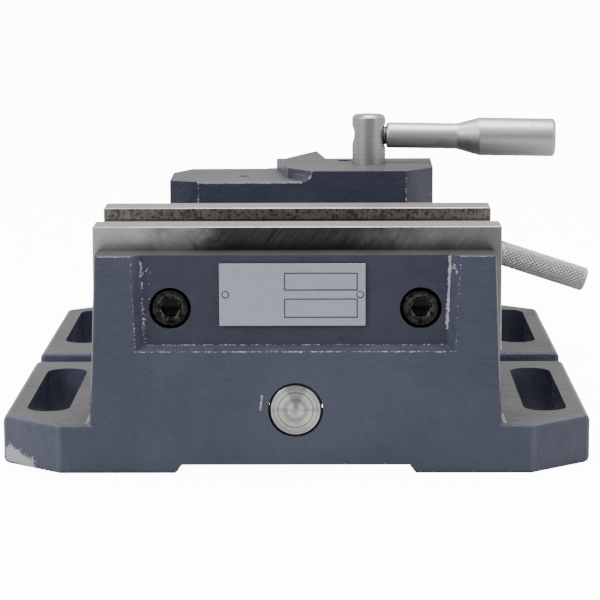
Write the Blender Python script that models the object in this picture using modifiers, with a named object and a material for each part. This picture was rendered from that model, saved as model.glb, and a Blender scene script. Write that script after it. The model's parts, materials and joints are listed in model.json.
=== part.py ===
"""Quick-action machine vise with 140 mm jaws, at rest, in metres with +Z up.

X runs along the jaws and +Y from the fixed jaw to the handle. The origin is on the
underside of the base, midway along it, on the plane of symmetry.
The dimensions are in millimetres. Depths are measured from the base's front face.
"""

import math

import bmesh
import bpy
from mathutils import Matrix, Vector

MM = 0.001
GAP = 0.3  # clearance between faces that would touch
OVERRUN = 4.0  # how far a cutter runs past the face it opens

# Base casting
BASE_LENGTH = 272.0
BASE_HALF_WIDTH = 101.5
FRONT_HALF_WIDTH = 81.0
CORNER_LENGTH = 18.0
LUG_THICKNESS = 17.0
NOTCH_START, NOTCH_END, NOTCH_INNER = 125.5, 141.5, 73.0
RAIL_OUTER = 66.0
RAIL_TOP = 39.0
RAIL_ALLOWANCE = 1.5  # machined off the rails and the back of the wall
CHANNEL_HALF_WIDTH = 38.5
UNDERCUT_HALF_WIDTH = 46.2
UNDERCUT_TOP = 26.9
REAR_WALL_START = 256.0
TIE_START, TIE_END, TIE_TOP = 127.0, 145.0, 7.0
RELIEF_HEIGHT = 3.2
RELIEF_BOTTOM, RELIEF_TOP = 41.0, 38.7
SLOT_WIDTH, SLOT_LENGTH = 15.0, 84.5
SLOT_X = 87.0
SLOT_CENTRES = (67.2, 209.3)

# Fixed jaw wall
WALL_BOTTOM_HALF, WALL_TOP_HALF = 69.9, 67.7
WALL_TOP, WALL_CAST_TOP = 74.7, 77.3
WALL_BACK = 16.1
RECESS_DEPTH = 3.5
# Half width at the top and at the bottom, and the bottom's height
RECESS_FRONT, RECESS_FLOOR = (55.8, 54.0, 42.2), (52.4, 51.2, 44.0)

# Jaw plates and the screws that hold them
PLATE_WIDTH, PLATE_THICKNESS = 140.0, 15.3
PLATE_BOTTOM, PLATE_TOP = 39.5, 82.7
FIXED_PLATE_START, FIXED_PLATE_SHIFT = WALL_BACK + GAP, 0.5
MOVABLE_PLATE_START = 71.0
MOVABLE_PLATE_END = MOVABLE_PLATE_START + PLATE_THICKNESS
JAW_SCREW_X, JAW_SCREW_Z = 42.4, 56.5
COUNTERBORE_RADIUS, COUNTERBORE_DEPTH = 7.1, 8.6
STEP_GROOVE_Z, STEP_GROOVE_SIZE = 78.1, 1.0

# Screws: thread radius, head radius, head height, width across the socket's flats
M8 = (4.0, 6.5, 8.0, 6.0)
M6 = (3.0, 5.0, 6.0, 5.0)
M4 = (2.0, 3.5, 4.0, 3.0)

# Nameplate
NAMEPLATE_CENTRE = (-1.0, 61.3)
NAMEPLATE_SIZE = (49.4, 21.2)
NAMEPLATE_THICKNESS = 0.8
RIVET_X = (-23.6, 21.9)

# Guide bar
BAR_RADIUS, BAR_Z = 9.0, 22.1
BAR_HOLE_RADIUS = BAR_RADIUS + GAP
BAR_START, BAR_END = 0.4, 271.6

# What slides on the rails
SLIDE_BOTTOM = RAIL_TOP + GAP
TONGUE_HALF_WIDTH = 38.1
TONGUE_BOTTOM = 26.7
HUB_HALF_WIDTH, HUB_BOTTOM = 17.5, 11.5
BUSH_RADIUS, BUSH_LENGTH = 11.0, 18.0
KEEPER_INNER, KEEPER_OUTER = 19.0, 45.6
KEEPER_BOTTOM, KEEPER_TOP = 16.3, 26.4
KEEPER_SCREW_X = 29.0

# Movable jaw
JAW_WALL_START, JAW_WALL_END = MOVABLE_PLATE_END + GAP, 101.6
JAW_TONGUE_START, JAW_TONGUE_END = 73.5, 117.0
JAW_PAD_HALF_WIDTH, JAW_PAD_TOP = 20.0, 80.3
WEB_TOE = 113.0

# Clamping spindle, its nut, hub and handle
SPINDLE_Z = 71.4
SPINDLE_RADIUS, SPINDLE_TIP_RADIUS, SPINDLE_END_RADIUS = 8.0, 5.0, 6.0
JOURNAL_RADIUS, JOURNAL_BORE_END = 6.3, 151.0
TIP_START, SHOULDER, THREAD_START = 89.9, 104.2, 160.0
THREAD_END, SPINDLE_END = 210.0, 228.5
TIP_GROOVE = (92.7, 96.3)
NUT_START, NUT_FLANGE_START, NUT_END = 172.5, 196.4, 201.1
NUT_RADIUS, NUT_FLANGE_RADIUS, NUT_SCREW_CIRCLE = 11.0, 17.8, 14.2
HUB_START, HUB_END, HUB_RADIUS = 212.0, 248.0, 12.0
HUB_PIN_DEPTH, HANDLE_DEPTH = 219.0, 236.0
HANDLE_RADIUS, HANDLE_REACH, HANDLE_TAIL = 5.1, 126.5, 10.5
HANDLE_DROP = 18.1  # degrees below level

# Carriage
BLOCK_TOP, BOSS_TOP, CARRIAGE_CAST_TOP = 86.5, 90.5, 93.0
RIB_BOTTOM, NUT_BOSS_TOP = 83.4, 84.2
BLOCK_OUTLINE = ((-38, 122.2), (41, 122.2), (51.6, 135.5), (52, 172.5), (-42.5, 171),
                 (-49.2, 157), (-49.2, 127.5))
RIB_OUTLINE = ((10.3, 160), (10.3, 172.5), (6.6, 202), (-8.5, 165.5), (-8.2, 160))
# What is milled down to BLOCK_TOP. The boss is what stays, and the cove is at its front left.
STEP_OUTLINE = ((14.4, 110), (-4.1, 134.5), (-8.5, 165.5), (-10.6, 185), (-70, 185), (-70, 110))
COVE_RADIUS = 3.7
FLANGE_HALF_WIDTH, FLANGE_TOP = 64.0, 54.0
CARRIAGE_TONGUE_START, CARRIAGE_TONGUE_END = 122.5, 171.0
NUT_BOSS_RADIUS, NUT_BOSS_END = 18.0, 196.0

# Lock post and its lever
POST_X, POST_DEPTH = 27.2, 153.8
POST_RADIUS, POST_TOP = 6.5, 109.5
ECCENTRIC_RADIUS, ECCENTRICITY = 5.0, 1.0
ECCENTRIC_BOTTOM, POST_BOTTOM = 14.4, 27.6
STUB_RADIUS, STUB_BOTTOM = 4.0, 8.3
LEVER_Z, LEVER_DROP = 101.5, 1.0
LEVER_START, LEVER_SHOULDER, LEVER_GRIP, LEVER_END = 6.8, 34.3, 42.9, 72.5
LEVER_NECK_RADIUS, LEVER_GRIP_RADIUS = 5.0, 7.4
STUD_RADIUS = 3.7

OILER_X, OILER_DEPTH = -21.4, 143.0
STOP_SCREW_X, STOP_SCREW_DEPTH = 17.9, 162.0

# Castings that are rounded before they are cut, and the cross-drilled hub. The exact
# solver leaves them open.
ROUNDED_FIRST = ("base_casting", "movable_jaw_casting", "carriage_casting", "spindle_hub")

# Colour, roughness and metallic value of each finish
FINISHES = {
    "blue_grey_paint": ((0.045, 0.05, 0.075), 0.35, 0.0),
    "ground_steel": ((0.56, 0.55, 0.53), 0.32, 1.0),
    "bright_steel": ((0.62, 0.62, 0.62), 0.25, 1.0),
    "black_oxide": ((0.02, 0.02, 0.022), 0.4, 0.6),
    "zinc_label": ((0.36, 0.41, 0.5), 0.4, 0.6),
    "bronze": ((0.5, 0.33, 0.16), 0.35, 1.0),
}


def back(depth):
    """Y of a depth behind the base's front face."""
    return depth - BASE_LENGTH / 2


def clear_scene():
    for obj in list(bpy.data.objects):
        bpy.data.objects.remove(obj, do_unlink=True)


def new_collection(name):
    collection = bpy.data.collections.new(name)
    bpy.context.scene.collection.children.link(collection)
    return collection


def new_material(name):
    colour, roughness, metallic = FINISHES[name]
    material = bpy.data.materials.new(name)
    material.use_nodes = True
    shader = material.node_tree.nodes["Principled BSDF"]
    shader.inputs["Base Color"].default_value = (*colour, 1.0)
    shader.inputs["Roughness"].default_value = roughness
    shader.inputs["Metallic"].default_value = metallic
    return material


def part(obj, finish):
    """Makes an object one of the vise's parts."""
    PARTS.objects.link(obj)
    obj.data.materials.append(MATERIALS[finish])
    obj.data.set_sharp_from_angle(angle=math.radians(35))
    return obj


def helper(obj):
    """Makes an object a cutter, or a block that another part absorbs."""
    CUTTERS.objects.link(obj)
    obj.hide_render = True
    obj.display_type = "WIRE"
    return obj


def object_from(name, bm):
    mesh = bpy.data.meshes.new(name)
    bm.to_mesh(mesh)
    bm.free()
    mesh.shade_smooth()
    return bpy.data.objects.new(name, mesh)


def turn_to(obj, direction):
    obj.rotation_euler = Vector(direction).to_track_quat("Z", "Y").to_euler()


def box(name, x, depth, z):
    """A block between pairs of X, depth and Z. Blocks that share a plane share it exactly."""
    sides = (x, (back(depth[0]), back(depth[1])), z)
    bm = bmesh.new()
    bmesh.ops.create_cube(bm, size=1.0)
    for vertex in bm.verts:
        vertex.co = [side[value > 0] * MM for side, value in zip(sides, vertex.co)]
    return object_from(name, bm)


def rod(name, radius, length, centre, direction, sides=32, far_radius=None):
    """A cylinder, or a cone that ends at far_radius, about its centre (X, depth, Z)."""
    bm = bmesh.new()
    bmesh.ops.create_cone(
        bm, cap_ends=True, segments=sides, radius1=radius * MM, depth=length * MM,
        radius2=(radius if far_radius is None else far_radius) * MM)
    obj = object_from(name, bm)
    obj.location = Vector((centre[0], back(centre[1]), centre[2])) * MM
    turn_to(obj, direction)
    return obj


def turned(name, profile, start, direction, sides=32):
    """A solid of revolution. The profile holds (radius, height) pairs from top to bottom,
    and height runs along the direction from the start (X, depth, Z). A ring's profile is
    a loop that ends where it starts."""
    bm = bmesh.new()
    loop = profile[0] == profile[-1]
    corners = profile[:-1] if loop else profile
    points = [bm.verts.new((radius * MM, 0, height * MM)) for radius, height in corners]
    following = points[1:] + (points[:1] if loop else [])
    for upper, lower in zip(points, following):
        bm.edges.new((upper, lower))
    obj = object_from(name, bm)
    obj.location = Vector((start[0], back(start[1]), start[2])) * MM
    turn_to(obj, direction)
    screw = obj.modifiers.new("turn", "SCREW")
    screw.steps = screw.render_steps = sides
    screw.use_merge_vertices = True
    screw.merge_threshold = 0.00001
    screw.use_smooth_shade = True
    return obj


def ring(name, inner, outer, start, length, direction, sides=32):
    profile = ((inner, length), (outer, length), (outer, 0), (inner, 0), (inner, length))
    return turned(name, profile, start, direction, sides)


def slab(name, outline, bottom, top):
    """A flat outline of (X, depth) points, from one height to another."""
    points = [(x, back(depth)) for x, depth in outline]
    return extrusion(name, points, (bottom, top), (0, 1, 2))


def side_profile(name, outline, x):
    """A flat outline of (depth, Z) points, between two values of X."""
    points = [(back(depth), z) for depth, z in outline]
    return extrusion(name, points, x, (2, 0, 1))


def front_profile(name, outline, depth):
    """A flat outline of (X, Z) points, between two depths."""
    return extrusion(name, outline, (back(depth[0]), back(depth[1])), (0, 2, 1))


def extrusion(name, points, ends, order):
    """Extrudes an outline between two ends. The order says which of the outline's two
    axes and its thickness becomes X, Y and Z."""
    curve = bpy.data.curves.new(name, "CURVE")
    curve.dimensions = "2D"
    curve.fill_mode = "BOTH"
    curve.extrude = (ends[1] - ends[0]) / 2 * MM
    spline = curve.splines.new("POLY")
    spline.points.add(len(points) - 1)
    for point, (x, y) in zip(spline.points, points):
        point.co = (x * MM, y * MM, 0, 1)
    spline.use_cyclic_u = True
    outline = bpy.data.objects.new(name, curve)
    PARTS.objects.link(outline)
    graph = bpy.context.evaluated_depsgraph_get()
    mesh = bpy.data.meshes.new_from_object(outline.evaluated_get(graph))
    bpy.data.objects.remove(outline)
    bm = bmesh.new()
    bm.from_mesh(mesh)
    bpy.data.meshes.remove(mesh)
    bmesh.ops.remove_doubles(bm, verts=bm.verts, dist=0.00001)
    caps = [face for face in bm.faces if len({v.co.z > 0 for v in face.verts}) == 1]
    bmesh.ops.delete(bm, geom=caps, context="FACES")
    bmesh.ops.holes_fill(bm, edges=bm.edges, sides=0)  # one face for each cap
    for vertex in bm.verts:
        flat = (vertex.co.x, vertex.co.y, ends[vertex.co.z > 0] * MM)
        vertex.co = [flat[axis] for axis in order]
    bmesh.ops.recalc_face_normals(bm, faces=bm.faces)
    if bm.calc_volume(signed=True) < 0:
        bmesh.ops.reverse_faces(bm, faces=bm.faces)
    return object_from(name, bm)


def stadium(centre_x, centre_depth, width, length, steps=8):
    """The outline of a slot with round ends, along Y."""
    points = []
    for end in (1, -1):
        for step in range(steps + 1):
            angle = math.pi * step / steps + (0 if end > 0 else math.pi)
            x = centre_x + width / 2 * math.cos(angle)
            straight = (length - width) / 2 * end
            points.append((x, centre_depth + straight + width / 2 * math.sin(angle)))
    return points


def boolean(obj, other, operation):
    modifier = obj.modifiers.new(other.name, "BOOLEAN")
    modifier.operation = operation
    modifier.solver = "MANIFOLD" if obj.name in ROUNDED_FIRST else "EXACT"
    modifier.object = helper(other)


def cut(obj, *cutters):
    for cutter in cutters:
        boolean(obj, cutter, "DIFFERENCE")


def absorb(obj, *blocks):
    for block in blocks:
        boolean(obj, block, "UNION")


def soften(obj, width, segments=2):
    """Rounds the edges that the object has so far."""
    bevel = obj.modifiers.new("rounding", "BEVEL")
    bevel.width = width * MM
    bevel.segments = segments
    bevel.limit_method = "ANGLE"
    bevel.angle_limit = math.radians(40)


def socket_screw(name, size, grip, start, direction, sides=20):
    """A socket head screw. It starts at the top of its head, and the direction is the
    way out of its hole. The grip is the length under the head."""
    thread, head, height, flats = size
    end = -height - grip
    profile = ((0, 0), (head - 0.6, 0), (head, -0.6), (head, -height), (thread, -height),
               (thread, end + 0.6), (thread - 0.6, end), (0, end))
    screw = part(turned(name, profile, start, direction, sides), "black_oxide")
    cut(screw, socket(name, flats, height * 0.55, start, direction))
    return screw


def socket(name, flats, depth, start, direction):
    """A hexagonal cutter that sinks to a depth below the start."""
    way = Vector((direction[0], direction[1], direction[2])).normalized()
    centre = Vector(start) + way * (OVERRUN - depth) / 2
    across = flats / math.sqrt(3)
    return rod(name + "_socket", across, depth + OVERRUN, centre, direction, sides=6)


def grub_screw(name, radius, length, start, direction, flats):
    profile = ((0, 0), (radius - 0.5, 0), (radius, -0.5), (radius, 0.5 - length),
               (radius - 0.5, -length), (0, -length))
    screw = part(turned(name, profile, start, direction, 20), "black_oxide")
    cut(screw, socket(name, flats, length * 0.5, start, direction))
    return screw


def base_casting():
    half = BASE_LENGTH / 2
    right = [(FRONT_HALF_WIDTH, 0), (BASE_HALF_WIDTH, CORNER_LENGTH),
             (BASE_HALF_WIDTH, NOTCH_START), (NOTCH_INNER, NOTCH_START),
             (NOTCH_INNER, NOTCH_END), (BASE_HALF_WIDTH, NOTCH_END),
             (BASE_HALF_WIDTH, BASE_LENGTH - CORNER_LENGTH), (FRONT_HALF_WIDTH, BASE_LENGTH)]
    left = [(-x, depth) for x, depth in reversed(right)]
    base = part(slab("base_casting", right + left, 0, LUG_THICKNESS), "blue_grey_paint")
    rails = box("rails", (-RAIL_OUTER, RAIL_OUTER), (WALL_BACK / 2, BASE_LENGTH),
                (LUG_THICKNESS / 2, RAIL_TOP + RAIL_ALLOWANCE))
    wall = front_profile(
        "wall",
        ((-WALL_BOTTOM_HALF, LUG_THICKNESS), (-WALL_BOTTOM_HALF, LUG_THICKNESS / 2),
         (WALL_BOTTOM_HALF, LUG_THICKNESS / 2), (WALL_BOTTOM_HALF, LUG_THICKNESS),
         (WALL_TOP_HALF, WALL_CAST_TOP), (-WALL_TOP_HALF, WALL_CAST_TOP)),
        (0, WALL_BACK + RAIL_ALLOWANCE))
    absorb(base, rails, wall)
    soften(base, 1.8)
    cut(base, box("rail_milling", (-half, half), (WALL_BACK, BASE_LENGTH + OVERRUN),
                  (RAIL_TOP, WALL_CAST_TOP + OVERRUN)))
    cut(base, box("wall_milling", (-half, half), (-OVERRUN, WALL_BACK + OVERRUN),
                  (WALL_TOP, WALL_CAST_TOP + OVERRUN)))
    cut(base, wall_recess())
    for side in (-1, 1):
        for row, centre in enumerate(SLOT_CENTRES):
            outline = stadium(side * SLOT_X, centre, SLOT_WIDTH, SLOT_LENGTH)
            cut(base, slab(f"slot_{side}_{row}", outline, -OVERRUN, LUG_THICKNESS + OVERRUN))
    channel = (WALL_BACK, REAR_WALL_START)
    cut(base, box("channel", (-CHANNEL_HALF_WIDTH, CHANNEL_HALF_WIDTH), channel,
                  (TIE_TOP, RAIL_TOP + OVERRUN)))
    for name, depths in (("front", (WALL_BACK, TIE_START)), ("rear", (TIE_END, REAR_WALL_START))):
        cut(base, box(f"{name}_window", (-UNDERCUT_HALF_WIDTH, UNDERCUT_HALF_WIDTH), depths,
                      (-OVERRUN, UNDERCUT_TOP)))
    cut(base, box("undercut", (-UNDERCUT_HALF_WIDTH, UNDERCUT_HALF_WIDTH),
                  (TIE_START - OVERRUN, TIE_END + OVERRUN), (TIE_TOP, UNDERCUT_TOP)))
    reliefs = (("front", (-OVERRUN, WALL_BACK + OVERRUN)),
               ("rear", (REAR_WALL_START - OVERRUN, BASE_LENGTH + OVERRUN)))
    for name, depths in reliefs:
        cut(base, front_profile(
            f"{name}_relief",
            ((-RELIEF_BOTTOM, -OVERRUN), (RELIEF_BOTTOM, -OVERRUN), (RELIEF_BOTTOM, 0),
             (RELIEF_TOP, RELIEF_HEIGHT), (-RELIEF_TOP, RELIEF_HEIGHT), (-RELIEF_BOTTOM, 0)),
            depths))
    cut(base, rod("bar_hole", BAR_HOLE_RADIUS, BASE_LENGTH + 2 * OVERRUN,
                  (0, BASE_LENGTH / 2, BAR_Z), (0, 1, 0)))
    for side in (-1, 1):
        x = side * JAW_SCREW_X
        floor = RECESS_DEPTH + COUNTERBORE_DEPTH
        cut(base, rod(f"counterbore_{side}", COUNTERBORE_RADIUS, floor + OVERRUN,
                      (x, (floor - OVERRUN) / 2, JAW_SCREW_Z), (0, 1, 0)))
        cut(base, rod(f"jaw_screw_hole_{side}", M8[0] + GAP, WALL_BACK + 2 * OVERRUN,
                      (x, WALL_BACK / 2, JAW_SCREW_Z), (0, 1, 0), 24))
    for x in RIVET_X:
        cut(base, rod(f"rivet_hole_{x}", 1.3, 6, (x, RECESS_DEPTH + 2, NAMEPLATE_CENTRE[1]),
                      (0, 1, 0), 12))
    set_screw_hole = M8[0] + GAP
    cut(base, rod("front_set_screw_hole", set_screw_hole, 18, (0, 8.5, 5), (0, 0, 1), 24))
    cut(base, rod("rear_set_screw_hole", set_screw_hole, 18, (0, 264, 37), (0, 0, 1), 24))
    return base


def wall_recess():
    """The sunk panel in the front of the wall, open at the top and with sloping sides."""
    reach = OVERRUN / RECESS_DEPTH
    mouth = [front + (front - floor) * reach for front, floor in zip(RECESS_FRONT, RECESS_FLOOR)]
    cutter = box("recess", (-1, 1), (-OVERRUN, RECESS_DEPTH), (RAIL_TOP, WALL_TOP + OVERRUN))
    for vertex in cutter.data.vertices:
        x, y, z = vertex.co
        top_half, bottom_half, bottom = RECESS_FLOOR if y > back(0) * MM else mouth
        at_top = z > WALL_TOP * MM
        half = top_half if at_top else bottom_half
        vertex.co = (math.copysign(half * MM, x), y, z if at_top else bottom * MM)
    return cutter


def jaw_plate(name, start, face_depth, shift=0.0):
    """A hardened jaw plate, a little off centre. The grooved working face is at face_depth."""
    depths = (start, start + PLATE_THICKNESS)
    half = PLATE_WIDTH / 2
    sides = (shift - half, shift + half)
    plate = part(box(name, sides, depths, (PLATE_BOTTOM, PLATE_TOP)), "ground_steel")
    soften(plate, 0.3, 1)
    groove = (face_depth - STEP_GROOVE_SIZE, face_depth + STEP_GROOVE_SIZE)
    cut(plate, box(name + "_groove", (sides[0] - OVERRUN, sides[1] + OVERRUN), groove,
                   (STEP_GROOVE_Z - STEP_GROOVE_SIZE / 2, STEP_GROOVE_Z + STEP_GROOVE_SIZE / 2)))
    back_depth = depths[0] if face_depth == depths[1] else depths[1]
    for side in (-1, 1):
        cut(plate, rod(f"{name}_thread_{side}", M8[0] + GAP, 23,
                       (side * JAW_SCREW_X, back_depth, JAW_SCREW_Z), (0, 1, 0), 24))
    return plate


def nameplate():
    x, z = NAMEPLATE_CENTRE
    width, height = NAMEPLATE_SIZE
    face = RECESS_DEPTH - GAP - NAMEPLATE_THICKNESS
    plate = part(box("nameplate", (x - width / 2, x + width / 2), (face, RECESS_DEPTH - GAP),
                     (z - height / 2, z + height / 2)), "zinc_label")
    for side, rivet_x in zip(("left", "right"), RIVET_X):
        cut(plate, rod(f"nameplate_hole_{side}", 1.3, 6, (rivet_x, face, z), (0, 1, 0), 12))
        profile = ((0, 0.15), (0.8, 0.1), (1.0, -0.1), (1.0, -4.5), (0, -4.5))
        part(turned(f"nameplate_rivet_{side}", profile, (rivet_x, face, z),
                    (0, -1, 0), 12), "bright_steel")


def guide_bar():
    length = BAR_END - BAR_START
    profile = ((0, length), (BAR_RADIUS - 0.5, length), (BAR_RADIUS, length - 0.5),
               (BAR_RADIUS, 0.5), (BAR_RADIUS - 0.5, 0), (0, 0))
    part(turned("guide_bar", profile, (0, BAR_START, BAR_Z), (0, 1, 0)), "bright_steel")
    bottom, top = BAR_Z - BAR_RADIUS - GAP, BAR_Z + BAR_RADIUS + GAP
    grub_screw("bar_set_screw_front", M8[0], bottom - 4.5, (0, 8.5, 4.5), (0, 0, -1), 4)
    grub_screw("bar_set_screw_rear", M8[0], 38.5 - top, (0, 264, 38.5), (0, 0, 1), 4)


def slide_tongue(name, start, end, hub_start, hub_end):
    """The blocks that run between the rails and round the guide bar."""
    tongue = box(name + "_tongue", (-TONGUE_HALF_WIDTH, TONGUE_HALF_WIDTH), (start, end),
                 (TONGUE_BOTTOM, PLATE_BOTTOM - 2 * GAP))
    neck = box(name + "_neck", (-TONGUE_HALF_WIDTH, TONGUE_HALF_WIDTH), (hub_start + 13, end),
               (TONGUE_BOTTOM + 5, SLIDE_BOTTOM + 5))
    hub = box(name + "_hub", (-HUB_HALF_WIDTH, HUB_HALF_WIDTH), (hub_start, hub_end),
              (HUB_BOTTOM, TONGUE_BOTTOM + 5))
    return tongue, neck, hub


def bar_bore(name, start, end):
    """The guide bar's bore and, from the front, the pocket of its bush."""
    bore = rod(name + "_bore", BAR_HOLE_RADIUS, end - start + 2 * OVERRUN,
               (0, (start + end) / 2, BAR_Z), (0, 1, 0))
    pocket = rod(name + "_pocket", BUSH_RADIUS + GAP, BUSH_LENGTH + GAP + OVERRUN,
                 (0, start + (BUSH_LENGTH + GAP - OVERRUN) / 2, BAR_Z), (0, 1, 0))
    return bore, pocket


def keepers(body, casting, start, end):
    """A strip under each rail's shoulder, with its screw up into the tongue."""
    middle = (start + end) / 2
    for side, name in ((-1, "left"), (1, "right")):
        x = sorted((side * KEEPER_INNER, side * KEEPER_OUTER))
        keeper = part(box(f"{body}_keeper_{name}", x, (start, end), (KEEPER_BOTTOM, KEEPER_TOP)),
                      "ground_steel")
        soften(keeper, 0.6, 1)
        screw_x = side * KEEPER_SCREW_X
        head_room = M6[2] + 2 * GAP
        cut(keeper, rod(f"{body}_keeper_head_{name}", M6[1] + GAP, 2 * head_room,
                        (screw_x, middle, KEEPER_BOTTOM), (0, 0, 1), 24))
        cut(keeper, rod(f"{body}_keeper_hole_{name}", M6[0] + GAP, 30,
                        (screw_x, middle, KEEPER_TOP), (0, 0, 1), 20))
        cut(casting, rod(f"{body}_keeper_thread_{name}", M6[0] + GAP, 21,
                         (screw_x, middle, TONGUE_BOTTOM), (0, 0, 1), 20))
        socket_screw(f"{body}_keeper_screw_{name}", M6, 13, (screw_x, middle, KEEPER_BOTTOM + GAP),
                     (0, 0, -1), 16)


def movable_jaw():
    foot_top = 46.5
    jaw = part(front_profile(
        "movable_jaw_casting",
        ((-68, SLIDE_BOTTOM), (68, SLIDE_BOTTOM), (66.5, WALL_TOP),
         (JAW_PAD_HALF_WIDTH + 6, WALL_TOP), (JAW_PAD_HALF_WIDTH, JAW_PAD_TOP),
         (-JAW_PAD_HALF_WIDTH, JAW_PAD_TOP), (-JAW_PAD_HALF_WIDTH - 6, WALL_TOP),
         (-66.5, WALL_TOP)),
        (JAW_WALL_START, JAW_WALL_END)), "blue_grey_paint")
    absorb(jaw, box("jaw_foot", (-62, 62), (JAW_WALL_START, JAW_TONGUE_END),
                    (SLIDE_BOTTOM, foot_top)))
    for side in (-1, 1):
        web = ((JAW_WALL_START + 5, foot_top - 5), (WEB_TOE, foot_top - 5),
               (WEB_TOE, foot_top + 5), (JAW_WALL_END - 1, 68), (JAW_WALL_START + 5, 68))
        x = sorted((side * 23.5, side * 30.0))
        absorb(jaw, side_profile(f"jaw_web_{side}", web, x))
    soften(jaw, 1.0)
    start, end = JAW_TONGUE_START, JAW_TONGUE_END
    absorb(jaw, *slide_tongue("jaw", start, end, start + 1.5, end - 1))
    cut(jaw, *bar_bore("jaw", start + 1.5, end))
    head_floor = JAW_WALL_END - COUNTERBORE_DEPTH
    for side in (-1, 1):
        x = side * JAW_SCREW_X
        cut(jaw, rod(f"jaw_counterbore_{side}", COUNTERBORE_RADIUS, COUNTERBORE_DEPTH * 2,
                     (x, JAW_WALL_END, JAW_SCREW_Z), (0, 1, 0)))
        cut(jaw, rod(f"movable_screw_hole_{side}", M8[0] + GAP, 40,
                     (x, head_floor, JAW_SCREW_Z), (0, 1, 0), 24))
    socket_depth = JAW_WALL_END - TIP_START + 0.4
    cut(jaw, rod("spindle_socket", SPINDLE_TIP_RADIUS + 0.4, 2 * socket_depth,
                 (0, JAW_WALL_END, SPINDLE_Z), (0, 1, 0)))
    cut(jaw, rod("retaining_hole", 2.7, 12, (0, sum(TIP_GROOVE) / 2, JAW_PAD_TOP), (0, 0, 1), 21))
    keepers("jaw", jaw, 77, 113)
    return jaw


def retaining_screw():
    """A dog-point grub screw that runs in the groove of the spindle's tip."""
    top = JAW_PAD_TOP - GAP
    body = SPINDLE_Z + SPINDLE_TIP_RADIUS + 0.5 - top
    dog = SPINDLE_Z + 3.8 + GAP - top
    profile = ((0, 0), (2.0, 0), (2.4, -0.4), (2.4, body), (1.4, body), (1.4, dog), (0, dog))
    start = (0, sum(TIP_GROOVE) / 2, top)
    screw = part(turned("spindle_retaining_screw", profile, start, (0, 0, 1), 20), "black_oxide")
    cut(screw, socket("retaining", 2.5, 1.5, start, (0, 0, 1)))


def bush(name, start):
    return part(ring(name, BAR_HOLE_RADIUS, BUSH_RADIUS, (0, start, BAR_Z), BUSH_LENGTH,
                     (0, 1, 0)), "bronze")


def jaw_screws(name, start, grip, direction):
    for side, word in ((-1, "left"), (1, "right")):
        socket_screw(f"{name}_{word}", M8, grip, (side * JAW_SCREW_X, start, JAW_SCREW_Z),
                     direction, 24)


def carriage_casting():
    block = slab("carriage_casting", BLOCK_OUTLINE, SLIDE_BOTTOM, CARRIAGE_CAST_TOP)
    carriage = part(block, "blue_grey_paint")
    rib = slab("rib", RIB_OUTLINE, RIB_BOTTOM, CARRIAGE_CAST_TOP)
    flange = box("flange", (-FLANGE_HALF_WIDTH, FLANGE_HALF_WIDTH), (124, 168),
                 (SLIDE_BOTTOM, FLANGE_TOP))
    nut_boss = rod("nut_boss", NUT_BOSS_RADIUS, NUT_BOSS_END - 160,
                   (0, (NUT_BOSS_END + 160) / 2, SPINDLE_Z), (0, 1, 0), 40)
    web = ((160, 42), (171, 42), (NUT_BOSS_END - 2, 58), (NUT_BOSS_END - 2, 66), (160, 66))
    cut(nut_boss, box("nut_boss_flat", (-20, 20), (150, 200), (NUT_BOSS_TOP, BOSS_TOP)))
    absorb(carriage, flange, side_profile("boss_web", web, (-5, 5)), nut_boss, rib)
    soften(carriage, 1.9)
    cut(carriage, box("boss_milling", (-60, 60), (110, 210), (BOSS_TOP, CARRIAGE_CAST_TOP + 2)))
    cut(carriage, step_cutter())
    start, end = CARRIAGE_TONGUE_START, CARRIAGE_TONGUE_END
    absorb(carriage, *slide_tongue("carriage", start, end, start + 1.5, end - 1))
    absorb(carriage, box("post_housing", (0, 36.5), (143, 168), (HUB_BOTTOM, TONGUE_BOTTOM + 5)))
    cut(carriage, *bar_bore("carriage", start + 1.5, end))
    axis = (0, JOURNAL_BORE_END, SPINDLE_Z)
    cut(carriage, rod("journal_bore", JOURNAL_RADIUS + 0.4, 80, axis, (0, 1, 0)))
    cut(carriage, turned("spindle_bore", ((0, 60), (SPINDLE_RADIUS + 0.5, 60),
                                          (SPINDLE_RADIUS + 0.5, 0), (0, 0)), axis, (0, 1, 0)))
    cut(carriage, rod("nut_pocket", NUT_RADIUS + GAP, 2 * (NUT_BOSS_END - NUT_START + GAP),
                      (0, NUT_BOSS_END, SPINDLE_Z), (0, 1, 0)))
    for index, (x, z) in enumerate(nut_screw_places()):
        cut(carriage, rod(f"nut_thread_{index}", M4[0] + 0.2, 22, (x, NUT_BOSS_END, z),
                          (0, 1, 0), 16))
    post = (POST_X, POST_DEPTH)
    cut(carriage, upright_hole("post_hole", POST_RADIUS + GAP, post, POST_BOTTOM - GAP, 100))
    chamber = ECCENTRIC_RADIUS + ECCENTRICITY + GAP
    cut(carriage, upright_hole("chamber", chamber, post, ECCENTRIC_BOTTOM - GAP, POST_BOTTOM + 1))
    cut(carriage, upright_hole("stub_hole", STUB_RADIUS + GAP, post, 5, ECCENTRIC_BOTTOM + 1))
    cut(carriage, rod("shoe_hole", 5.3, POST_X, (POST_X / 2, POST_DEPTH, BAR_Z), (1, 0, 0), 24))
    cut(carriage, upright_hole("oiler_hole", 1.9, (OILER_X, OILER_DEPTH), 79, 95))
    cut(carriage, upright_hole("stop_hole", 2.8, (STOP_SCREW_X, STOP_SCREW_DEPTH), 80, 95))
    keepers("carriage", carriage, 125, 141)
    return carriage


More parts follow.
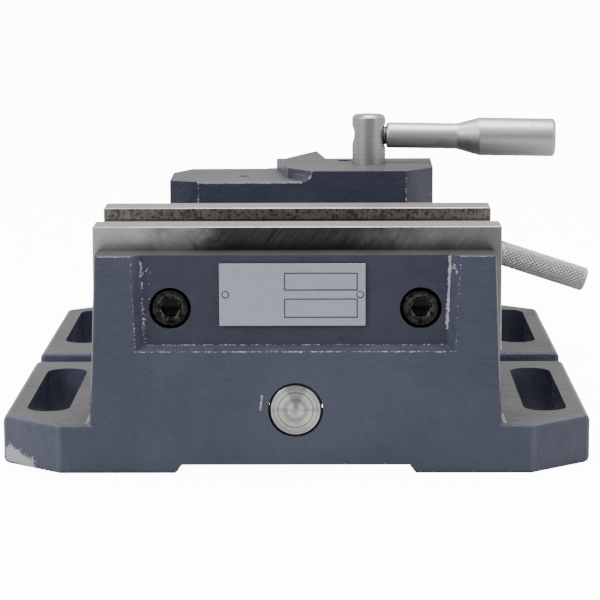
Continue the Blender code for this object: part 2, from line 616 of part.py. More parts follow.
def step_cutter():
    """The milled step beside the boss, with a cove along the outline's first side."""
    cutter = slab("step_milling", STEP_OUTLINE, BLOCK_TOP, CARRIAGE_CAST_TOP + 2)
    ends = [Vector((x, back(depth), BLOCK_TOP)) * MM for x, depth in STEP_OUTLINE[:2]]
    bm = bmesh.new()
    bm.from_mesh(cutter.data)
    along = [edge for edge in bm.edges
             if all(min((vertex.co - end).length for end in ends) < GAP * MM
                    for vertex in edge.verts)]
    bmesh.ops.bevel(bm, geom=along, offset=COVE_RADIUS * MM, offset_type="OFFSET",
                    segments=6, profile=0.5, affect="EDGES")
    bm.to_mesh(cutter.data)
    bm.free()
    return cutter


def upright_hole(name, radius, place, bottom, top):
    centre = (place[0], place[1], (bottom + top) / 2)
    return rod(name, radius, top - bottom, centre, (0, 0, 1), 28)


def nut_screw_places():
    places = []
    for index in range(3):
        angle = math.radians(30 + 120 * index)
        places.append((NUT_SCREW_CIRCLE * math.cos(angle),
                       SPINDLE_Z + NUT_SCREW_CIRCLE * math.sin(angle)))
    return places


def spindle_nut():
    flange, end = NUT_FLANGE_START - NUT_START, NUT_END - NUT_START
    bore = SPINDLE_RADIUS + 0.4
    profile = ((bore, end), (NUT_FLANGE_RADIUS, end), (NUT_FLANGE_RADIUS, flange),
               (NUT_RADIUS, flange), (NUT_RADIUS, 0), (bore, 0), (bore, end))
    nut = part(turned("spindle_nut", profile, (0, NUT_START, SPINDLE_Z), (0, 1, 0)), "bronze")
    flat = box("nut_flat", (-NUT_FLANGE_RADIUS, NUT_FLANGE_RADIUS), (NUT_BOSS_END, NUT_END + 1),
               (RIB_BOTTOM - GAP, BOSS_TOP))
    cut(nut, flat)
    for index, (x, z) in enumerate(nut_screw_places()):
        cut(nut, rod(f"nut_hole_{index}", M4[0] + 0.4, 30, (x, NUT_END, z), (0, 1, 0), 16))
        socket_screw(f"nut_screw_{index + 1}", M4, 13, (x, NUT_END + GAP + M4[2], z), (0, 1, 0), 16)


def carriage_fittings():
    profile = ((0, -0.5), (0.7, -0.3), (0.9, 0), (1.4, 0), (1.6, -0.2), (1.6, -5), (0, -5))
    part(turned("oiler", profile, (OILER_X, OILER_DEPTH, BLOCK_TOP - 0.2), (0, 0, 1), 20),
         "black_oxide")
    grub_screw("post_stop_screw", 2.5, 8, (STOP_SCREW_X, STOP_SCREW_DEPTH, BOSS_TOP - 0.6),
               (0, 0, 1), 2.5)
    start = BAR_RADIUS + 0.4
    end = POST_X - ECCENTRIC_RADIUS - ECCENTRICITY - 0.4
    part(rod("lock_shoe", 5.0, end - start, ((start + end) / 2, POST_DEPTH, BAR_Z),
             (1, 0, 0), 24), "bronze")


def lock_post():
    start = (POST_X, POST_DEPTH, 0)
    bevel = 1.1
    profile = ((0, POST_TOP), (POST_RADIUS - bevel, POST_TOP), (POST_RADIUS, POST_TOP - bevel),
               (POST_RADIUS, POST_BOTTOM), (0, POST_BOTTOM))
    post = part(turned("lock_post", profile, start, (0, 0, 1), 40), "bright_steel")
    eccentric_top = POST_BOTTOM + 2
    eccentric = rod("eccentric", ECCENTRIC_RADIUS, eccentric_top - ECCENTRIC_BOTTOM,
                    (POST_X, POST_DEPTH + ECCENTRICITY, (eccentric_top + ECCENTRIC_BOTTOM) / 2),
                    (0, 0, 1), 24)
    stub_top = ECCENTRIC_BOTTOM + 2
    stub = rod("stub", STUB_RADIUS, stub_top - STUB_BOTTOM,
               (POST_X, POST_DEPTH, (stub_top + STUB_BOTTOM) / 2), (0, 0, 1), 24)
    absorb(post, eccentric, stub)
    cut(post, ring("stub_groove", 3.2, 8, (POST_X, POST_DEPTH, 9.6), 1.6, (0, 0, 1), 24))
    along = lever_direction()
    middle = Vector((POST_X, POST_DEPTH, LEVER_Z))
    cut(post, rod("cross_hole", 3.2, 30, middle, along, 24))
    cut(post, rod("lever_thread", STUD_RADIUS + GAP, 20, middle + along * 8.5, along, 24))
    cut(post, rod("left_sink", 4.2, 2.6, middle - along * 6.2, along, 24, far_radius=2.8))
    cut(post, rod("right_sink", 3.2, 3.4, middle + along * 5.9, along, 24, far_radius=5.4))
    part(ring("post_retaining_ring", 3.4, 6.4, (POST_X, POST_DEPTH, 9.9), 1.0, (0, 0, 1), 24),
         "black_oxide")


def lever_direction():
    drop = math.radians(LEVER_DROP)
    return Vector((math.cos(drop), 0, -math.sin(drop)))


def lock_lever():
    along = lever_direction()
    middle = Vector((POST_X, POST_DEPTH, LEVER_Z))
    stud_start, stud_length = -0.8, 17.5
    centre = middle + along * (stud_start + stud_length / 2)
    part(rod("lever_stud", STUD_RADIUS, stud_length, centre, along, 24), "bright_steel")
    end, grip, shoulder, start = LEVER_END, LEVER_GRIP, LEVER_SHOULDER, LEVER_START
    profile = ((0, end), (LEVER_GRIP_RADIUS - 0.9, end), (LEVER_GRIP_RADIUS, end - 0.9),
               (LEVER_GRIP_RADIUS, grip), (LEVER_NECK_RADIUS, shoulder),
               (LEVER_NECK_RADIUS, start + 0.7), (LEVER_NECK_RADIUS - 0.7, start), (0, start))
    lever = part(turned("lever_handle", profile, middle, along), "bright_steel")
    cut(lever, rod("stud_bore", STUD_RADIUS + GAP, 2 * (stud_start + stud_length - start + 0.6),
                   middle + along * start, along, 24))


def handle_direction():
    drop = math.radians(HANDLE_DROP)
    return Vector((math.cos(drop), 0, -math.sin(drop)))


def spindle():
    start = (0, TIP_START, SPINDLE_Z)
    tip, journal = SPINDLE_TIP_RADIUS, JOURNAL_RADIUS
    thread, end = SPINDLE_RADIUS, SPINDLE_END_RADIUS
    groove_start, groove_end = (depth - TIP_START for depth in TIP_GROOVE)
    shoulder, thread_start, thread_end, length = (
        depth - TIP_START for depth in (SHOULDER, THREAD_START, THREAD_END, SPINDLE_END))
    profile = ((0, length), (end - 0.6, length), (end, length - 0.6), (end, thread_end),
               (thread - 1, thread_end), (thread, thread_end - 1), (thread, thread_start + 1.4),
               (journal, thread_start), (journal, shoulder + 0.5), (journal - 0.5, shoulder),
               (tip, shoulder), (tip, groove_end), (3.8, groove_end),
               (3.8, groove_start), (tip, groove_start), (tip, 0.6), (tip - 0.6, 0), (0, 0))
    shaft = part(turned("clamping_spindle", profile, start, (0, 1, 0)), "bright_steel")
    across = Vector((math.sin(math.radians(HANDLE_DROP)), 0, math.cos(math.radians(HANDLE_DROP))))
    pin_place = (0, HUB_PIN_DEPTH, SPINDLE_Z)
    cut(shaft, rod("spindle_pin_hole", 2.3, 30, pin_place, across, 16))
    washer_start = JAW_WALL_END + GAP
    part(ring("thrust_washer", tip + 0.4, 8.5, (0, washer_start, SPINDLE_Z),
              SHOULDER - GAP - washer_start, (0, 1, 0)), "ground_steel")
    length = HUB_END - HUB_START
    hub_profile = ((0, length), (HUB_RADIUS - 1, length), (HUB_RADIUS, length - 1),
                   (HUB_RADIUS, 1), (HUB_RADIUS - 1, 0), (0, 0))
    hub = part(turned("spindle_hub", hub_profile, (0, HUB_START, SPINDLE_Z), (0, 1, 0)),
               "bright_steel")
    bore_depth = SPINDLE_END - HUB_START + GAP
    cut(hub, rod("hub_bore", end + GAP, 2 * bore_depth, (0, HUB_START, SPINDLE_Z), (0, 1, 0)))
    cut(hub, rod("hub_pin_hole", 2.3, 30, pin_place, across, 16))
    along = handle_direction()
    handle_centre = Vector((0, HANDLE_DEPTH, SPINDLE_Z))
    cut(hub, rod("handle_hole", HANDLE_RADIUS + GAP, 40, handle_centre, along))
    cut(hub, rod("handle_screw_hole", 3.3, 2 * (HUB_END - HANDLE_DEPTH - 4),
                 (0, HUB_END, SPINDLE_Z), (0, 1, 0), 20))
    part(rod("hub_pin", 2.0, 23, pin_place, across, 16), "bright_steel")
    grub_screw("handle_grub_screw", 3.0, HUB_END - HANDLE_DEPTH - HANDLE_RADIUS - 2 * GAP,
               (0, HUB_END - GAP, SPINDLE_Z), (0, 1, 0), 3)
    chamfer = 0.9
    profile = ((0, HANDLE_REACH), (HANDLE_RADIUS - chamfer, HANDLE_REACH),
               (HANDLE_RADIUS, HANDLE_REACH - chamfer), (HANDLE_RADIUS, -HANDLE_TAIL),
               (0, -HANDLE_TAIL))
    part(turned("knurled_handle", profile, handle_centre, along), "bright_steel")


def empty(name, x, depth, z, parent=None):
    obj = bpy.data.objects.new(name, None)
    PARTS.objects.link(obj)
    obj.location = Vector((x, back(depth), z)) * MM
    attach(obj, parent)
    return obj


def attach(obj, parent):
    """Parents an object that keeps its place in the world."""
    if parent is not None:
        obj.parent = parent
        obj.matrix_parent_inverse = Matrix.Translation(-parent.location)


def assemble():
    """Hangs every part on the frame it moves with. The frames are on the joint axes."""
    base = empty("base_frame", 0, BASE_LENGTH / 2, 0)
    carriage = empty("carriage_frame", 0, POST_DEPTH, BAR_Z, base)
    jaw = empty("jaw_frame", 0, JAW_WALL_END, SPINDLE_Z, carriage)
    spindle_frame = empty("spindle_frame", 0, HANDLE_DEPTH, SPINDLE_Z, jaw)
    lock = empty("lock_frame", POST_X, POST_DEPTH, LEVER_Z, carriage)
    frames = {
        carriage: ("carriage_", "spindle_nut", "nut_screw", "oiler", "post_stop", "lock_shoe"),
        jaw: ("movable_jaw", "jaw_", "spindle_retaining", "thrust_washer"),
        spindle_frame: ("clamping_spindle", "spindle_hub", "hub_pin", "knurled", "handle_grub"),
        lock: ("lock_post", "post_retaining", "lever_"),
    }
    for obj in PARTS.objects:
        if obj.type == "EMPTY":
            continue
        owner = base
        for frame, starts in frames.items():
            if obj.name.startswith(starts):
                owner = frame
        attach(obj, owner)


clear_scene()
PARTS = new_collection("machine_vise")
CUTTERS = new_collection("machine_vise_cutters")
MATERIALS = {name: new_material(name) for name in FINISHES}

base_casting()
jaw_plate("fixed_jaw_plate", FIXED_PLATE_START, FIXED_PLATE_START + PLATE_THICKNESS,
              FIXED_PLATE_SHIFT)
jaw_screws("fixed_jaw_screw", RECESS_DEPTH + 2 * GAP, 14, (0, -1, 0))
nameplate()
guide_bar()
movable_jaw()
jaw_plate("movable_jaw_plate", MOVABLE_PLATE_START, MOVABLE_PLATE_START)
jaw_screws("movable_jaw_screw", JAW_WALL_END - GAP, 17, (0, 1, 0))
bush("jaw_bush", JAW_TONGUE_START + 1.5 + GAP)
retaining_screw()
carriage_casting()
bush("carriage_bush", CARRIAGE_TONGUE_START + 1.5 + GAP)
spindle_nut()
carriage_fittings()
lock_post()
lock_lever()
spindle()
assemble()
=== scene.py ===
import math
import json
import bpy
import bmesh
import numpy as np
from mathutils import Matrix, Vector


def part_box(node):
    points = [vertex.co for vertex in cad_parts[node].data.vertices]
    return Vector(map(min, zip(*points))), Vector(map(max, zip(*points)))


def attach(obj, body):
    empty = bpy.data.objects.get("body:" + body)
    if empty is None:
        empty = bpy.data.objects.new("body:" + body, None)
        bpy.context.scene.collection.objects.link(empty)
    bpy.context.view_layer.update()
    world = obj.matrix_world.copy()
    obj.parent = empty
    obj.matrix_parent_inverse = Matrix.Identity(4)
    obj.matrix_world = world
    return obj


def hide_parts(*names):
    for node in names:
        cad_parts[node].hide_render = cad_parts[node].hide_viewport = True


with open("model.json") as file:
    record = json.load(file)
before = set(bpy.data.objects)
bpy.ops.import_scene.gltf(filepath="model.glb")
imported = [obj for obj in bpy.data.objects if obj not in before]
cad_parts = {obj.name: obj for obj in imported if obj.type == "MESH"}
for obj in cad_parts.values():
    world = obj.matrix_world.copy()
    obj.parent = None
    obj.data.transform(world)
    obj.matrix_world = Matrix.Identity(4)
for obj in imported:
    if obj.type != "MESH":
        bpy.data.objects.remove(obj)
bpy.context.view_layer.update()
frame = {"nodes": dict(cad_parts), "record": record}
cadNodes = frame["nodes"]
bodyOf = {node: body for body, members in frame["record"]["behaviour"]["bodies"].items() for node in members}
mm = 0.001

# Meshes.

def meshFromGrid(name, points, closed=True):
    # points[row, column] is the surface: rows run along it, columns run round it.
    # Each face joins four neighbours; points that fall together, as at a pole, are merged.
    rows, columns = points.shape[:2]
    r, c = np.meshgrid(np.arange(rows - 1), np.arange(columns if closed else columns - 1), indexing="ij")
    across = (c + 1) % columns
    quads = np.stack([r * columns + c, r * columns + across, (r + 1) * columns + across, (r + 1) * columns + c], -1)
    mesh = bpy.data.meshes.new(name)
    mesh.from_pydata(points.reshape(-1, 3).tolist(), [], quads.reshape(-1, 4).tolist())
    bm = bmesh.new()
    bm.from_mesh(mesh)
    bmesh.ops.remove_doubles(bm, verts=bm.verts, dist=1e-7)
    bmesh.ops.dissolve_degenerate(bm, edges=bm.edges, dist=1e-8)
    holes = [e for e in bm.edges if len(e.link_faces) == 1]
    if closed and holes:
        bmesh.ops.holes_fill(bm, edges=holes, sides=0)
    bmesh.ops.recalc_face_normals(bm, faces=bm.faces)
    if closed and bm.calc_volume(signed=True) < 0:
        bmesh.ops.reverse_faces(bm, faces=bm.faces)
    bm.to_mesh(mesh)
    bm.free()
    return mesh


def roundedProfile(corners, radius=0.25, steps=3):
    # Swaps every inner corner of an open profile for a short quadratic curve.
    corners = np.asarray(corners, float)
    out = [corners[0]]
    t = np.linspace(0, 1, steps + 1)[:, None]
    for before, corner, after in zip(corners[:-2], corners[1:-1], corners[2:]):
        a, b = before - corner, after - corner
        la, lb = np.linalg.norm(a), np.linalg.norm(b)
        reach = min(radius, 0.45 * la, 0.45 * lb)
        start, end = corner + a / la * reach, corner + b / lb * reach
        out.extend((1 - t) ** 2 * start + 2 * t * (1 - t) * corner + t ** 2 * end)
    out.append(corners[-1])
    return np.array(out)


def axisFrame(direction):
    along = np.asarray(direction, float)
    along /= np.linalg.norm(along)
    helper = np.array([0, 0, 1.0]) if abs(along[2]) < 0.9 else np.array([1.0, 0, 0])
    side = np.cross(helper, along)
    side /= np.linalg.norm(side)
    return along, side, np.cross(along, side)


def pointsRound(origin, direction, height, radius, angle):
    # origin + height * axis + radius * (cos a * side + sin a * up), in mm from the origin
    along, side, up = axisFrame(direction)
    around = np.cos(angle)[..., None] * side + np.sin(angle)[..., None] * up
    return np.asarray(origin, float) + mm * (height[..., None] * along + radius[..., None] * around)


def turnedMesh(name, profile, origin, direction, sides=96, hexFrom=None):
    # Each row of the profile is a radius and a height. From row hexFrom on, radius is divided by
    # cos of the angle to the nearest of six flats, which makes the socket's hexagon.
    profile = np.asarray(profile, float)
    angle = np.linspace(0, 2 * math.pi, sides, endpoint=False)[None, :]
    radius = np.repeat(profile[:, :1], sides, 1)
    if hexFrom is not None:
        flats = 1 / np.cos(np.mod(angle, math.pi / 3) - math.pi / 6)
        radius[hexFrom:] = radius[hexFrom:] * flats
    return meshFromGrid(name, pointsRound(origin, direction, profile[:, 1:2], radius, angle))


def weldedMesh(name, node, rounding, segments=2, limit=38):
    # A CAD node's triangles, welded, with flat neighbours joined and every sharp edge rounded.
    bm = bmesh.new()
    bm.from_mesh(cadNodes[node].data)
    bmesh.ops.remove_doubles(bm, verts=bm.verts, dist=2e-5)
    bmesh.ops.dissolve_limit(bm, angle_limit=math.radians(0.6), verts=bm.verts, edges=bm.edges)
    sharp = [e for e in bm.edges if len(e.link_faces) == 2 and e.calc_face_angle(0) > math.radians(limit)]
    if rounding:
        bmesh.ops.bevel(bm, geom=sharp, offset=rounding * mm, segments=segments, affect="EDGES",
                        clamp_overlap=True, profile=0.5)
    mesh = bpy.data.meshes.new(name)
    bm.to_mesh(mesh)
    bm.free()
    return mesh


def meshNumbers(items, name, width=1, kind=float):
    values = np.empty(len(items) * width, kind)
    items.foreach_get(name, values)
    return values.reshape(-1, width) if width > 1 else values


def joinedMesh(name, meshes):
    bm = bmesh.new()
    for each in meshes:
        bm.from_mesh(each)
    mesh = bpy.data.meshes.new(name)
    bm.to_mesh(mesh)
    bm.free()
    return mesh


def addWear(mesh, largeFace=30):
    # wear is how far each point stands out from the mean direction of its neighbours,
    # and nothing where a face larger than largeFace square mm meets it.
    count = len(mesh.vertices)
    co = meshNumbers(mesh.vertices, "co", 3)
    normal = meshNumbers(mesh.vertices, "normal", 3)
    edges = meshNumbers(mesh.edges, "vertices", 2, int)
    way = co[edges[:, 1]] - co[edges[:, 0]]
    way /= np.maximum(np.linalg.norm(way, axis=1, keepdims=True), 1e-9)
    total, links = np.zeros((count, 3)), np.zeros(count)
    np.add.at(total, edges[:, 0], way)
    np.add.at(total, edges[:, 1], -way)
    np.add.at(links, edges.ravel(), 1)
    standing = -(total * normal).sum(1) / np.maximum(links, 1)
    faceOf = np.repeat(np.arange(len(mesh.polygons)), meshNumbers(mesh.polygons, "loop_total", kind=int))
    largest = np.zeros(count)
    np.maximum.at(largest, meshNumbers(mesh.loops, "vertex_index", kind=int),
                  meshNumbers(mesh.polygons, "area")[faceOf])
    wear = np.clip(standing * 6, 0, 1) * (largest < largeFace * mm * mm)
    layer = mesh.attributes.new("wear", "FLOAT", "POINT")
    layer.data.foreach_set("value", wear.astype(np.float32))


def addPiece(name, mesh, node, materials, body=None, smooth=32, weighted=False):
    # Puts a finished mesh in place of its CAD node, on the same body.
    for material in materials:
        mesh.materials.append(material)
    mesh.shade_smooth()
    mesh.set_sharp_from_angle(angle=math.radians(smooth))
    piece = bpy.data.objects.new(name, mesh)
    bpy.context.scene.collection.objects.link(piece)
    if weighted:
        evening = piece.modifiers.new("evenNormals", "WEIGHTED_NORMAL")
        evening.weight = 80
        evening.keep_sharp = True
    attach(piece, body or bodyOf[node])
    if node:
        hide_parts(node)
    return piece


def carve(mesh, cutters):
    # Cuts closed meshes out of a mesh and gives back the result.
    work = bpy.data.objects.new("carving", mesh)
    bpy.context.scene.collection.objects.link(work)
    tools = []
    for cutter in cutters:
        tool = bpy.data.objects.new("carvingTool", cutter)
        bpy.context.scene.collection.objects.link(tool)
        tools.append(tool)
        step = work.modifiers.new("cut", "BOOLEAN")
        step.operation, step.solver, step.object = "DIFFERENCE", "MANIFOLD", tool
    graph = bpy.context.evaluated_depsgraph_get()
    result = bpy.data.meshes.new_from_object(work.evaluated_get(graph))
    for leftover in [work] + tools:
        bpy.data.objects.remove(leftover)
    return result


# Shading.

def addNode(tree, kind, **settings):
    node = tree.nodes.new(kind)
    for key, value in settings.items():
        if key[:2] == "in" and (key[2].isupper() or key[2].isdigit()):
            socket = key[2:]
            node.inputs[int(socket) if socket.isdigit() else socket].default_value = value
        else:
            setattr(node, key, value)
    return node


def feed(tree, socket, value):
    # An output is linked to the socket; a number, a vector or a colour is set as its own value.
    if isinstance(value, bpy.types.NodeSocket):
        tree.links.new(value, socket)
    elif isinstance(value, (int, float)):
        socket.default_value = value
    else:
        socket.default_value = (*value, 1.0)[:len(socket.default_value)]


def mathNode(tree, operation, *values, kind="ShaderNodeMath"):
    node = addNode(tree, kind, operation=operation)
    for socket, value in zip(node.inputs, values):
        feed(tree, socket, value)
    return node.outputs[0]


def vectorNode(tree, operation, *values):
    node = mathNode(tree, operation, *values, kind="ShaderNodeVectorMath").node
    return node.outputs["Value" if operation in ("DOT_PRODUCT", "DISTANCE", "LENGTH") else "Vector"]


def splitNode(tree, vector):
    node = addNode(tree, "ShaderNodeSeparateXYZ")
    tree.links.new(vector, node.inputs[0])
    return node.outputs


def noiseNode(tree, vector, scale, detail=2.0, roughness=0.5, distortion=0.0):
    node = addNode(tree, "ShaderNodeTexNoise", inScale=scale, inDetail=detail, inRoughness=roughness,
                   inDistortion=distortion)
    tree.links.new(vector, node.inputs["Vector"])
    return node.outputs["Fac"]


def rampNode(tree, value, low, high):
    node = addNode(tree, "ShaderNodeMapRange", interpolation_type="SMOOTHSTEP")
    tree.links.new(value, node.inputs["Value"])
    node.inputs["From Min"].default_value, node.inputs["From Max"].default_value = low, high
    return node.outputs["Result"]


def mixNode(tree, kind, sockets, values):
    node = addNode(tree, "ShaderNodeMix", data_type=kind)
    for socket, value in zip(sockets, values):
        feed(tree, node.inputs[socket], value)
    return node


def mixColour(tree, factor, a, b):
    return mixNode(tree, "RGBA", (0, 6, 7), (factor, a, b)).outputs[2]


def mixValue(tree, factor, a, b):
    return mixNode(tree, "FLOAT", (0, 2, 3), (factor, a, b)).outputs[0]


def newGroup(name, outputs, **numbers):
    # A group has a Vector input, then the numbers with their defaults, and number outputs.
    group = bpy.data.node_groups.new(name, "ShaderNodeTree")
    group.interface.new_socket(name="Vector", in_out="INPUT", socket_type="NodeSocketVector")
    for label, value in numbers.items():
        socket = group.interface.new_socket(name=label, in_out="INPUT", socket_type="NodeSocketFloat")
        socket.default_value = value
    for label in outputs:
        group.interface.new_socket(name=label, in_out="OUTPUT", socket_type="NodeSocketFloat")
    return group, group.nodes.new("NodeGroupInput").outputs, group.nodes.new("NodeGroupOutput").inputs


def useGroup(tree, group, **values):
    node = tree.nodes.new("ShaderNodeGroup")
    node.node_tree = group
    for key, value in values.items():
        feed(tree, node.inputs[key.replace("_", " ")], value)
    return node.outputs


def makeCastSkin():
    # Lumpy enamel over a sand casting: broad lumps, a finer orange peel, and a slow change of tone.
    group, given, out = newGroup("castSkin", ("Height", "Tone"), Lumps=1.0)
    broad = noiseNode(group, given["Vector"], 260, 2.0, 0.45)
    peel = noiseNode(group, given["Vector"], 900, 2.0, 0.55)
    fine = noiseNode(group, given["Vector"], 2600, 1.0, 0.5)
    lumps = mathNode(group, "MULTIPLY_ADD", broad, given["Lumps"], mathNode(group, "MULTIPLY", peel, 0.55))
    group.links.new(mathNode(group, "MULTIPLY_ADD", fine, 0.2, lumps), out["Height"])
    group.links.new(noiseNode(group, given["Vector"], 24, 3.0, 0.6), out["Tone"])
    return group


def makeEdgeChips():
    # Paint knocked off along the rounded edges: where wear plus a patchy noise passes a level.
    group, given, out = newGroup("edgeChips", ("Mask",), Wear=0.0, Amount=0.5)
    patches = noiseNode(group, given["Vector"], 95, 3.0, 0.6)
    grit = noiseNode(group, given["Vector"], 900, 3.0, 0.65)
    level = mathNode(group, "MULTIPLY_ADD", patches, 0.62, mathNode(group, "MULTIPLY", grit, 0.38))
    reach = mathNode(group, "MULTIPLY", given["Wear"], given["Amount"])
    group.links.new(rampNode(group, mathNode(group, "ADD", level, reach), 0.93, 0.99), out["Mask"])
    return group


def makeChipAndHighlightLines(lines):
    # Chips, and painted highlights, along set lines: the nearer to the line's segment, the lower the level that the
    # grit has to pass.
    group, given, out = newGroup("chipAndHighlightLines", ("Mask",))
    grit = mathNode(group, "MULTIPLY_ADD", noiseNode(group, given["Vector"], 1500, 3.0, 0.6), 0.55,
                    mathNode(group, "MULTIPLY", noiseNode(group, given["Vector"], 420, 3.0, 0.6), 0.45))
    total = None
    for start, end, width, amount in lines:
        way = Vector(end) - Vector(start)
        offset = vectorNode(group, "SUBTRACT", given["Vector"], [c * mm for c in start])
        share = vectorNode(group, "DOT_PRODUCT", offset, way / (max(way.length_squared, 1e-6) * mm))
        held = addNode(group, "ShaderNodeClamp")
        group.links.new(share, held.inputs["Value"])
        foot = addNode(group, "ShaderNodeVectorMath", operation="SCALE")
        foot.inputs[0].default_value = way * mm
        group.links.new(held.outputs[0], foot.inputs["Scale"])
        distance = vectorNode(group, "DISTANCE", offset, foot.outputs[0])
        near = mathNode(group, "MULTIPLY_ADD", distance, -1 / (width * mm), 1.0)
        near = mathNode(group, "MULTIPLY", mathNode(group, "MAXIMUM", near, 0.0), amount)
        total = near if total is None else mathNode(group, "MAXIMUM", total, near)
    level = mathNode(group, "ADD", grit, total)
    shown = mathNode(group, "MULTIPLY", rampNode(group, level, 0.66, 0.72), rampNode(group, total, 0.0, 0.05))
    group.links.new(shown, out["Mask"])
    return group


def makeGrindMarks():
    # Fine lines along X of the vector it is given: noise squeezed hard across them.
    group, given, out = newGroup("grindMarks", ("Streak", "Height"))

    def squeezed(factors, scale, detail):
        return noiseNode(group, vectorNode(group, "MULTIPLY", given["Vector"], factors), scale, detail, 0.6)

    coarse = squeezed((0.03, 1, 1), 2600, 3.0)
    fine = squeezed((0.015, 1, 1), 8200, 2.0)
    both = mathNode(group, "MULTIPLY_ADD", coarse, 0.6, mathNode(group, "MULTIPLY", fine, 0.4))
    group.links.new(rampNode(group, both, 0.3, 0.7), out["Streak"])
    group.links.new(both, out["Height"])
    return group


def makeTurnRings():
    # Lathe marks round Z of the vector it is given: noise read along the distance from that axis.
    group, given, out = newGroup("turnRings", ("Streak", "Height"), Rings=2400.0)
    fromAxis = vectorNode(group, "LENGTH", vectorNode(group, "MULTIPLY", given["Vector"], (1, 1, 0)))
    height = splitNode(group, given["Vector"])[2]
    line = addNode(group, "ShaderNodeCombineXYZ")
    for socket, value in zip(line.inputs, (fromAxis, height)):
        group.links.new(mathNode(group, "MULTIPLY", value, given["Rings"]), socket)
    rings = noiseNode(group, line.outputs[0], 1.0, 3.0, 0.6)
    group.links.new(rampNode(group, rings, 0.32, 0.68), out["Streak"])
    group.links.new(rings, out["Height"])
    return group


def makeGrime():
    # Thin oil and dust: soft blotches broken by small specks.
    group, given, out = newGroup("grime", ("Mask",), Amount=0.5)
    blotch = noiseNode(group, given["Vector"], 60, 4.0, 0.6, 0.4)
    speck = noiseNode(group, given["Vector"], 1300, 2.0, 0.5)
    level = mathNode(group, "MULTIPLY_ADD", blotch, 0.8, mathNode(group, "MULTIPLY", speck, 0.2))
    group.links.new(mathNode(group, "MULTIPLY", rampNode(group, level, 0.42, 0.72), given["Amount"]), out["Mask"])
    return group


def newMaterial(name, **constants):
    material = bpy.data.materials.new(name)
    material.use_nodes = True
    tree = material.node_tree
    shader = tree.nodes["Principled BSDF"]
    for key, value in constants.items():
        shader.inputs[key.replace("_", " ")].default_value = value
    return material, tree, shader


def objectCoords(tree, location=(0, 0, 0), rotation=(0, 0, 0)):
    # Turns and centres the pattern; the location is taken off first.
    coords = addNode(tree, "ShaderNodeTexCoord")
    if location == (0, 0, 0) and rotation == (0, 0, 0):
        return coords.outputs["Object"]
    mapping = addNode(tree, "ShaderNodeMapping", vector_type="TEXTURE")
    mapping.inputs["Location"].default_value = location
    mapping.inputs["Rotation"].default_value = rotation
    tree.links.new(coords.outputs["Object"], mapping.inputs["Vector"])
    return mapping.outputs["Vector"]


def addBump(tree, shader, height, strength, distance):
    bump = addNode(tree, "ShaderNodeBump", inStrength=strength, inDistance=distance)
    tree.links.new(height, bump.inputs["Height"])
    tree.links.new(bump.outputs["Normal"], shader.inputs["Normal"])


castSkin = makeCastSkin()
edgeChips = makeEdgeChips()
grindMarks = makeGrindMarks()
turnRings = makeTurnRings()
grime = makeGrime()

# start and end in mm, width and amount of each line of chips, and of the painted highlights among them
chipAndHighlightPlaces = {
    "base": [((-99.5, -121.0, 4.0), (-92.0, -127.0, 1.0), 5.0, 0.5),
             ((-55.4, -136, 72), (-54.1, -136, 44), 0.8, 0.17), ((-52.2, -132.5, 73), (-51.4, -132.5, 44), 1.6, 0.19),
             ((55.6, -136, 72), (54.1, -136, 44), 0.6, 0.15), ((52.3, -132.5, 74), (51.4, -132.5, 50), 1.2, 0.36),
             ((52.3, -132.5, 73.5), (54.5, -135, 69), 1.4, 0.22), ((-49.5, -132.5, 70), (-47, -132.5, 50), 4.5, 0.12),
             ((-54.0, -136, 42.2), (54.0, -136, 42.2), 0.6, 0.22), ((-51.2, -132.5, 44), (51.2, -132.5, 44), 0.5, 0.2),
             ((-67.7, -136, 74.7), (67.7, -136, 74.7), 0.5, 0.3), ((-67.8, -136, 72), (-69.9, -136, 22), 0.9, 0.26),
             ((67.8, -136, 72), (69.9, -136, 22), 0.7, 0.2), ((-12, -136, 22), (-11.4, -136, 27), 0.8, 0.3),
             ((-69.9, -136, 18.5), (-103, -118, 18.5), 1.2, 0.2), ((69.9, -136, 18.5), (103, -118, 18.5), 1.2, 0.18),
             ((-101.5, -100, 17), (-103, -60, 17), 1.6, 0.2), ((101.5, -84, 16.5), (103, -40, 16.5), 1.4, 0.2)],
    # on the carriage, the first three lines are painted highlights in the bare colour: along the front top edge and up
    # round the cove to the boss
    "carriage": [((-38, -13.8, 86.5), (1, -13.8, 86.5), 0.9, 0.6), ((1, -13.8, 86.5), (4.4, -13.8, 88.3), 0.8, 0.5),
                 ((4.4, -13.8, 88.3), (5.1, -13.8, 90.5), 0.7, 0.4), ((-38, -13.8, 86), (-38, -13.8, 60), 0.9, 0.2),
                 ((41, -13.8, 90), (41, -13.8, 60), 0.9, 0.2), ((51.8, 0, 90), (51.8, 0, 60), 0.9, 0.15)],
    "jaw": [((-66.5, -49.4, 74), (-26, -49.4, 74), 0.9, 0.3), ((66.5, -34.6, 74), (26, -34.6, 74), 1.0, 0.25)],
}


